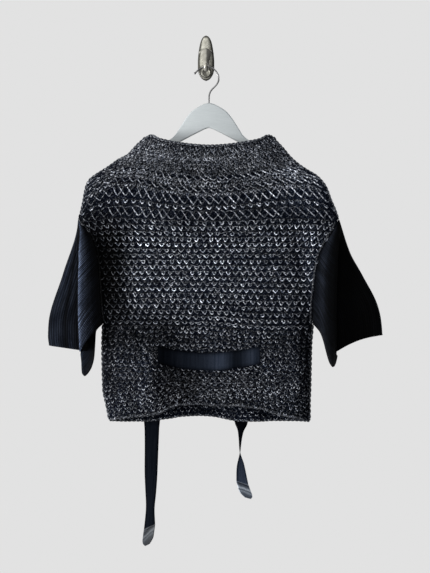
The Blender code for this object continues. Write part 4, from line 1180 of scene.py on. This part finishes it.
def sleeve_half(cut, foot, down, share):
    """One half of a sleeve at shares of the way down it: an array (row, column, xyz)."""
    closes = foot is cut["flap_foot"]
    seam_x, seam_low = layer_point(cut, foot, "flap", 1.0, down)
    outer_x, outer_drop = layer_point(cut, foot, "outer", 1.0, down)
    armhole = np.maximum(body_size("armhole", seam_low) * share, SEAM_GAP / 2)
    opened = ease(down, *PLEAT_OPENS)
    columns = []
    for index, (layer, along, depth, _, _) in enumerate(PLEAT):
        turn = index / (len(PLEAT) - 1) * math.pi / 2
        plain_x = seam_x + (outer_x - seam_x) * math.sin(turn)
        plain_drop = seam_low + (outer_drop - seam_low) * math.sin(turn)
        swell = math.sin(2 * turn) * SWELL[1] * ease(down, 0.0, SWELL[0])
        plain_depth = armhole * math.cos(turn) + swell
        x, drop = layer_point(cut, foot, layer, along, down)
        depth = depth * share * np.ones_like(down)
        if layer != "flap":
            depth = depth * (1 - FOOT_TUCK[1] * ease(down, FOOT_TUCK[0], 1.0))
        elif index == 0:
            depth = armhole
        else:
            shut = closes * ease(along, POINT_STARTS, POINT_ACROSS) * down ** POINT_ROUND
            near_seam = ease(along, SEAM_FULL[0], 1.0)
            depth = (1 - near_seam) * depth + near_seam * np.maximum(armhole, depth * SEAM_FULL[1])
            depth = depth * np.sqrt(np.maximum(0.0, 1 - shut))
        x = plain_x + (x - plain_x) * opened
        drop = plain_drop + (drop - plain_drop) * opened
        depth = plain_depth + (depth - plain_depth) * opened
        columns.append(np.stack((x, depth, -drop), axis=-1))
    return np.stack(columns, axis=1)


def round_length(row):
    """Distance of each point of a row from the row's first point."""
    steps = np.maximum(np.linalg.norm(np.diff(row, axis=0), axis=1), 1e-4)
    return np.concatenate(([0.0], np.cumsum(steps)))


def resample(row, count):
    """A row of points read again at even steps along it, and the steps' places on it."""
    length = round_length(row)
    place = np.linspace(0.0, length[-1], count)
    return np.stack([smooth(place, length, row[:, axis]) for axis in range(3)], axis=1), place, length


def sleeve_rings(cut, down):
    """The rows of points round a sleeve's middle surface, front half first, from seam to seam."""
    halves = []
    feet = (cut.get("front_foot", cut["flap_foot"]), cut["flap_foot"])
    for foot, share, face in zip(feet, (1.0, BACK_SHARE), ("front", "back")):
        half = sleeve_half(cut, foot, down, share)
        half[..., 1] = CLOTH_PLANE + SIGN[face] * half[..., 1]
        halves.append(half)
    return np.concatenate((halves[0], halves[1][:, -2::-1]), axis=1)


def folds_out(away):
    """How far the soft folds stand out, by distance round a sleeve from its outer edge."""
    raised = np.zeros(len(away))
    for sign, folds in zip((-1, 1), SLEEVE_FOLDS):
        for middle, half_wide, height in folds:
            raised += height * bump(away, sign * middle, half_wide)
    return raised


def make_sleeve(name, finish):
    """A sleeve's shell, with its soft folds, and UV that runs round it and down it in millimetres."""
    cut = SLEEVES[name]
    down = np.linspace(0.0, 1.0, SLEEVE_ROWS)
    # the light and shade painted round the sleeve, with painted shade on its back half
    lights = np.array([row[3 if cut["side"] == "left" else 4] for row in PLEAT])
    lights = np.concatenate((lights, lights[-2::-1] * BEHIND_PAINTED_SHADE))
    grid, out, around, light, leans = [], [], [], [], []
    for row, opened in zip(sleeve_rings(cut, down), ease(down, *FOLDS_OPEN)):
        points, place, length = resample(row, SLEEVE_COLUMNS)
        away = place - length[len(PLEAT) - 1]
        grid.append(points)
        around.append(away)
        light.append(np.interp(place, length, lights))
        stations = length[[FOLD_COLUMN, HIDDEN_COLUMN, -1 - HIDDEN_COLUMN, -1 - FOLD_COLUMN]]
        leans.append(np.interp(place, stations, (1.0, 0.0, 0.0, -1.0)))
        out.append(folds_out(away) * opened)
    grid, out, around, light, leans = (np.array(rows) for rows in (grid, out, around, light, leans))
    normal = unit(np.cross(np.gradient(grid, axis=1), np.gradient(grid, axis=0)))
    if normal[SLEEVE_ROWS // 2, SLEEVE_COLUMNS // 8, 1] > 0:
        normal = -normal
    outer = grid + normal * out[..., None]
    inner = outer - normal * SLEEVE_WALL
    low = run_length(grid)
    around = around * (1 - (1 - RIB_LEAN) * np.abs(leans)) - RIB_LEAN * leans * low
    uv = np.stack((around, low), axis=-1)
    if cut["side"] == "right":
        outer, inner, uv, light = (rows[:, ::-1] for rows in (outer, inner, uv, light))
    points, faces = closed_wall(outer, inner)
    uv = np.tile(uv.reshape(-1, 2), (2, 1))
    shell = add_piece(f"rib_{name}", points, faces, finish, uv, np.tile(light.reshape(-1), 2))
    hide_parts(name)
    foot = (outer[-1] + inner[-1]) / 2
    points, faces, uv = tubes(foot[None], normal[-1][None], CUFF_ROLL, CUFF_SIDES)
    # the cuff takes the painted light and shade of the sleeve's last row
    light = np.repeat(light[-1], CUFF_SIDES)
    cuff = add_piece(f"cuff_{name}", points, faces, finish, uv, light)
    return shell, cuff


# ---------------------------------------------------------------- waist tape
def turned_width(angle):
    turn = math.radians(angle)
    return np.array((math.cos(turn), -math.sin(turn), 0.0)) * TAPE_WIDTH / 2


def hanging_lines(path, count, slant, slant_from):
    """Cross lines down a hanging strip, slanted by so much at their ends from slant_from on."""
    lines = []
    for drop in np.linspace(path["drop"][0], path["drop"][-1], count):
        x, y, edge = (float(smooth(drop, path["drop"], path[key])) for key in ("x", "y", "edge"))
        rise = slant * ease(drop, slant_from, slant_from + SLANT_REACH)
        lines.append((np.array((x, y, -drop)), turned_width(edge) + (0.0, 0.0, rise)))
    return lines


def back_slit_lines(tail):
    z = -BACK_SLIT_DROP
    skin = body_surface_y("back", tail["exit"], BACK_SLIT_DROP)
    lines = [(np.array((tail["exit"] - left, skin + out, z)), UPRIGHT) for left, out in OUT_OF_SLIT]
    middle = np.array((tail["exit"] - OUT_OF_SLIT[-1][0] - FOLD_CLEAR - TAPE_WIDTH / 2, skin, z))
    flat = OUT_OF_SLIT[-1][1]
    for step in range(FOLD_STEPS + 1):
        turn = math.pi * (step / FOLD_STEPS - 0.5)
        away = FOLD_RADIUS * math.cos(turn) / math.sqrt(2)
        rise = flat + FOLD_RADIUS * (1 + math.sin(turn))
        lines.append((middle + (-away, rise, away), UPRIGHT + (TAPE_WIDTH / 2, 0.0, 0.0)))
    return lines


def band_place(x):
    drop = float(smooth(x, BAND_DROP["x"], BAND_DROP["drop"]))
    return drop, min(body_surface_y("front", x, drop + off * TAPE_WIDTH) for off in BAND_PROBES)


def front_slit_lines(x, inwards):
    drop, skin = band_place(x)
    return [(np.array((x + inwards * side, skin + into, -drop)), UPRIGHT) for side, into in INTO_SLIT]


def band_lines():
    left, right = FRONT_SLITS
    lines = []
    for x in np.linspace(left + BAND_START, right - BAND_START, BAND_COLUMNS):
        drop, skin = band_place(x)
        lines.append((np.array((x, skin - TAPE_CLEAR - TAPE_THICK / 2, -drop)), UPRIGHT))
    return lines


def flat_strip(lines, thickness, columns=TAPE_COLUMNS, pillow=0.0):
    """Outer and inner grids of a strip through cross lines, pillow higher along its middle."""
    centres = np.array([line[0] for line in lines], float)
    widths = np.array([line[1] for line in lines], float)
    normals = unit(np.cross(np.gradient(centres, axis=0), widths))
    place = np.linspace(-1, 1, columns)
    rise = (thickness / 2 + pillow * (1 - place ** 2))[None, :, None]
    base = centres[:, None] + widths[:, None] * place[None, :, None]
    return base + normals[:, None] * rise, base - normals[:, None] * rise


def strip_uv(outer):
    """UV in millimetres: along the strip and across it, the same on both faces."""
    along = run_length(outer).mean(axis=1)
    across = np.linspace(0, TAPE_WIDTH, outer.shape[1])
    one = np.stack(np.meshgrid(along, across, indexing="ij"), axis=-1).reshape(-1, 2)
    return np.concatenate((one, one))


def painted_tape_light(place):
    """The painted sheen, light and shade on the tape at a place along it."""
    if place[1] < CLOTH_PLANE:
        return float(smooth(place[0], BAND_PAINTED_LIGHT["x"], BAND_PAINTED_LIGHT["light"]))
    sheen = TAIL_PAINTED_LIGHT["left" if place[0] < 0 else "right"]
    return float(smooth(-place[2], sheen["drop"], sheen["light"]))


def tape_half(side, slit):
    """Cross lines from a tail's end to the front slit on its side."""
    tail = TAILS[side]
    hanging = hanging_lines(tail, TAIL_ROWS, TIPS[side]["slant"], tail["drop"][-1] - SLANT_REACH)
    return hanging[::-1] + back_slit_lines(tail)[::-1] + front_slit_lines(slit, -SIGN[side])


def make_tape(finish):
    """The tape from end to end: a tail, its way through the body, the band and back again."""
    left, right = (tape_half(side, slit) for side, slit in zip(("left", "right"), FRONT_SLITS))
    lines = left + band_lines() + right[::-1]
    outer, inner = flat_strip(lines, TAPE_THICK)
    points, faces = closed_wall(outer, inner)
    # painted sheen and shade along the tape, times painted shade at its edges
    light = np.outer([painted_tape_light(centre) for centre, _ in lines], EDGE_PAINTED_SHADE).reshape(-1)
    uv = strip_uv(outer)
    tape = add_piece("grosgrain_tape", points, faces, finish, uv, np.tile(light, 2), angle=50)
    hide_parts("waist_tape")
    return tape


def make_tip(side, leather, thread):
    """A tail's leather end with its rounded corners, and the seam across its top."""
    cut = TIPS[side]
    long = cut["drop"][-1] - cut["drop"][0]
    lines = []
    for row, (centre, width) in enumerate(hanging_lines(cut, TIP_ROWS, cut["slant"], 0.0)):
        from_end = (1 - row / (TIP_ROWS - 1)) * long / TIP_CORNER
        narrow = math.sqrt(1 - (1 - min(1.0, from_end + TIP_BLUNT)) ** 2)
        lines.append((centre, width * max(narrow, TIP_NARROWEST)))
    outer, inner = flat_strip(lines, TIP_EDGE_THICK, TIP_COLUMNS, TIP_PILLOW)
    points, faces = closed_wall(outer, inner)
    # painted light and shade, one value for each end
    light = np.full(len(points), cut["light"])
    uv = strip_uv(outer)
    uv[:, 0] += cut["lean"] * (uv[:, 1] - TAPE_WIDTH / 2)
    tip = add_piece(f"leather_tip_{side}", points, faces, leather, uv, light, angle=60)
    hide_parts(f"tape_tip_{side}")
    seam = np.stack([outer[TIP_SEAM_ROW, 1:-1], inner[TIP_SEAM_ROW, 1:-1]])
    ways = np.broadcast_to((0.0, 0.0, 1.0), seam.shape)
    points, faces, _ = tubes(seam, ways, THREAD_RADIUS, THREAD_SIDES)
    return [add_piece(f"tip_seam_{side}", points, faces, thread), tip]


# ---------------------------------------------------------------- hanger and wall hook
def hanger_outline():
    """The hanger's outline: out and back along its right arm, then along its left one."""
    outs = np.linspace(0, HANGER["out"][-1], HANGER_STEPS)
    top, under = (list(zip(outs, smooth(outs, HANGER["out"], HANGER[edge]))) for edge in ("top", "under"))
    return top + under[::-1] + [(-out, drop) for out, drop in under[1:] + top[:0:-1]]


def bevelled_plate(outline, thick, bevel):
    """A mesh of a flat outline of x and drop, with rounded edges, upright in the cloth's plane."""
    curve = bpy.data.curves.new("outline", "CURVE")
    curve.dimensions = "2D"
    curve.fill_mode = "BOTH"
    curve.extrude = (thick / 2 - bevel) * MM
    curve.bevel_depth = bevel * MM
    curve.bevel_resolution = 4
    curve.offset = -bevel * MM
    spline = curve.splines.new("POLY")
    spline.points.add(len(outline) - 1)
    for point, (x, drop) in zip(spline.points, outline):
        point.co = (x * MM, -drop * MM, 0.0, 1.0)
    spline.use_cyclic_u = True
    guide = new_object("outline", curve)
    flat = bpy.data.meshes.new_from_object(guide.evaluated_get(bpy.context.evaluated_depsgraph_get()))
    bpy.data.objects.remove(guide, do_unlink=True)
    bm = bmesh.new()
    bm.from_mesh(flat)
    bmesh.ops.remove_doubles(bm, verts=bm.verts, dist=WELD * MM)
    for vert in bm.verts:
        x, z, y = vert.co
        vert.co = (x, CLOTH_PLANE * MM - y, z)
    bmesh.ops.recalc_face_normals(bm, faces=bm.faces)
    bm.to_mesh(flat)
    bm.free()
    return flat


def make_hanger(finish):
    outline = [(HANGER_X + out, drop) for out, drop in hanger_outline()]
    flat = bevelled_plate(outline, HANGER_THICK, HANGER_BEVEL)
    flat.materials.clear()
    flat.materials.append(finish)
    flat.shade_smooth()
    flat.set_sharp_from_angle(angle=math.radians(40))
    wood = placed(new_object("painted_hanger", flat))
    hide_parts("hanger_wood")


def ball(middle, radius, rings=10, sides=14):
    """Points and faces of a ball, as rings from pole to pole."""
    tall = np.linspace(0.0, math.pi, rings)[:, None]
    ring = np.maximum(np.sin(tall), 1e-3)
    turn = turns(sides)
    across = (ring * np.cos(turn), ring * np.sin(turn), np.broadcast_to(np.cos(tall), (rings, sides)))
    points = np.asarray(middle, float) + np.stack(across, axis=-1).reshape(-1, 3) * radius
    return points, grid_faces(rings, sides, ring=True, flip=True).tolist() + end_caps(rings, sides)


def make_wire(finish):
    """The hanger's wire hook with the ball on its tip."""
    _, (x, z) = read_route(WIRE_ROUTE, WIRE_POINTS)
    path = np.stack((x, np.full(WIRE_POINTS, CLOTH_PLANE), z), axis=1)
    outs = np.broadcast_to((0.0, -1.0, 0.0), path.shape)
    points, faces, _ = tubes(path[None], outs[None], WIRE_THICK / 2, WIRE_SIDES)
    tip, tip_faces = ball(path[0], WIRE_BALL)
    faces = faces + [[corner + len(points) for corner in face] for face in tip_faces]
    points = np.concatenate((points, tip))
    wire = add_piece("wire_hook", points, faces, finish, shade=np.ones(len(points)), angle=50)
    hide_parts("hanger_hook")


def make_plate(finish):
    """The hook's plate: a low crown with the collar, the dish and its rings."""
    top, foot = PLATE["drop"][0], PLATE["drop"][-1]
    drops = np.linspace(top + PLATE_TRIM, foot - PLATE_TRIM, PLATE_ROWS)[:, None]
    side = np.sin(np.linspace(-1, 1, PLATE_COLUMNS) * math.pi / 2)[None]
    x = smooth(drops, PLATE["drop"], PLATE["half"]) * side
    drop = np.broadcast_to(drops, x.shape)
    ends = np.minimum(1.0, (drop - top) / PLATE_ENDS) * np.minimum(1.0, (foot - drop) / PLATE_ENDS)
    crown = np.sqrt(np.maximum(0.0, 1 - np.abs(side) ** PLATE_ROUND) * np.maximum(ends, 0.0))
    high = PLATE_HIGH[0] + PLATE_HIGH[1] * crown
    high = high + COLLAR["out"] * bump(drop, COLLAR["drop"], COLLAR["half"]) * crown
    away = np.hypot(x, drop - DISH["drop"])
    for radius, half, out in DISH["rings"]:
        high = high + out * bump(away, radius, half) * crown
    outer = np.stack((x, -high, -drop), axis=-1)
    inner = np.stack((x, np.zeros_like(x), -drop), axis=-1)
    points, faces = closed_wall(outer, inner)
    # painted highlight on the plate's face, painted shade at its rim and in the dish's groove
    face_share = (1 - ease(np.abs(side), *PLATE_RIM)) * ease(ends, *PLATE_END_RIM)
    light = PLATE_PAINTED_LIGHT[0] + (PLATE_PAINTED_LIGHT[1] - PLATE_PAINTED_LIGHT[0]) * face_share
    light = light * (1 - DISH_PAINTED_SHADE["much"] * bump(away, DISH_PAINTED_SHADE["radius"], DISH_PAINTED_SHADE["half"]))
    light = np.concatenate((light.reshape(-1), np.ones(light.size)))
    plate = add_piece("hook_plate", points, faces, finish, shade=light, angle=50)
    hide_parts("wall_plate")


def make_arm(finish):
    """The hook's arm, squarer in section towards its tip."""
    share, (forward, drop, half_wide, half_thick) = read_route(ARM, ARM_RINGS)
    path = np.stack((np.zeros(ARM_RINGS), -forward, -drop), axis=1)
    runs = np.gradient(path, axis=0)
    runs[0] = (0.0, -1.0, 0.0)
    across = np.array((1.0, 0.0, 0.0))
    up = np.cross(unit(runs), across)
    turn = turns(ARM_SIDES)
    square = ARM_SQUARE[0] + (ARM_SQUARE[1] - ARM_SQUARE[0]) * ease(share, *ARM_SQUARE_ROWS)[:, None]
    shape = (np.abs(np.cos(turn)) ** square + np.abs(np.sin(turn)) ** square) ** (-1 / square)
    wide = half_wide[:, None] * np.cos(turn) * shape
    thick = half_thick[:, None] * np.sin(turn) * shape
    points = path[:, None] + across * wide[..., None] + up[:, None] * thick[..., None]
    faces = grid_faces(ARM_RINGS, ARM_SIDES, ring=True).tolist() + end_caps(ARM_RINGS, ARM_SIDES)
    # painted light on the arm's left side, painted shade on its right
    light = ARM_PAINTED_LIGHT[0] + (ARM_PAINTED_LIGHT[1] - ARM_PAINTED_LIGHT[0]) * ease(np.cos(turn), *ARM_PAINTED_LIGHT_TURNS)
    light = np.tile(light, ARM_RINGS)
    arm = add_piece("hook_arm", points.reshape(-1, 3), faces, finish, shade=light, angle=40)
    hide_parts("wall_hook_arm")


# ---------------------------------------------------------------- stage
def make_world():
    """A pale room: bright behind the object, dimmer as light, brighter above where it is mirrored."""
    world = bpy.data.worlds.new("pale_room")
    world.use_nodes = True
    tree = world.node_tree
    seen = tree.nodes["Background"]
    seen.inputs["Color"].default_value = (*BACKGROUND, 1.0)
    lit = node(tree, "Background", {"Color": (*AMBIENT, 1.0)})
    way = node(tree, "TexCoord").outputs["Generated"]
    towards = node(tree, "VectorMath", {0: way, 1: MIRRORED_FROM}, operation="DOT_PRODUCT").outputs["Value"]
    mirrored = node(tree, "Background", {"Color": ramp(tree, towards, MIRRORED)})
    path = node(tree, "LightPath")
    both = lit
    for ray, room in (("Is Glossy Ray", mirrored), ("Is Camera Ray", seen)):
        both = node(tree, "MixShader", {0: path.outputs[ray], 1: both.outputs[0], 2: room.outputs[0]})
    tree.links.new(both.outputs[0], tree.nodes["World Output"].inputs["Surface"])
    bpy.context.scene.world = world


def make_floor():
    finish, tree, shader, place = new_material("pale_floor", 0.8)
    set_colour(tree, shader, ramp(tree, noise(tree, place, 3.0), FLOOR_TONES))
    turn = turns(FLOOR_SIDES)
    rim = np.stack((np.cos(turn), np.sin(turn), np.zeros(FLOOR_SIDES)), axis=1) * FLOOR_RADIUS
    mesh = bpy.data.meshes.new("floor")
    mesh.from_pydata(rim.tolist(), [], [list(range(FLOOR_SIDES))])
    mesh.materials.append(finish)
    floor = new_object("floor", mesh)
    floor.location = (0.0, CLOTH_PLANE * MM, -FLOOR_DROP * MM)


def make_lights(middle):
    for number, (spot, size, power) in enumerate(LIGHTS):
        light = bpy.data.lights.new(f"light_{number}", "AREA")
        light.energy = power
        light.size = size
        lamp = new_object(f"light_{number}", light)
        lamp.location = spot
        lamp.rotation_euler = (middle - lamp.location).to_track_quat("-Z", "Y").to_euler()


def make_camera(middle):
    """A camera far in front, level with the middle, that takes in the photograph's frame."""
    lens = bpy.data.cameras.new("camera")
    lens.sensor_width = SENSOR
    lens.lens = SENSOR * CAMERA_AWAY / (FRAME_HIGH * PIXEL)
    camera = new_object("camera", lens)
    camera.location = (middle.x, middle.y - CAMERA_AWAY * MM, middle.z)
    camera.rotation_euler = (math.radians(90), 0.0, 0.0)
    bpy.context.scene.camera = camera
    bpy.context.scene.view_settings.view_transform = "Standard"


def make_stage():
    middle = Vector((FRAME_MIDDLE[0] * MM, CLOTH_PLANE * MM, FRAME_MIDDLE[1] * MM))
    make_world()
    make_floor()
    make_lights(middle)
    make_camera(middle)


def make_top():
    """The knit top: its panels, sleeves and tape, each with its pieces."""
    yarn = yarn_material()
    ground = ground_material()
    rib = rib_material()
    leather = leather_material()
    seams = make_seams(yarn)
    for face, sewn in (("front", seams), ("back", [])):
        panel, pieces = make_panel(face, yarn, ground)
    for name in SLEEVES:
        shell, cuff = make_sleeve(name, rib)
    tape = make_tape(tape_material())
    tips = make_tip("left", leather, rib) + make_tip("right", leather, rib)


def main():
    make_stage()
    make_top()
    make_hanger(wood_material())
    make_wire(metal_material("steel_wire"))
    make_plate(metal_material("worn_nickel"))
    make_arm(metal_material("lit_nickel"))


main()
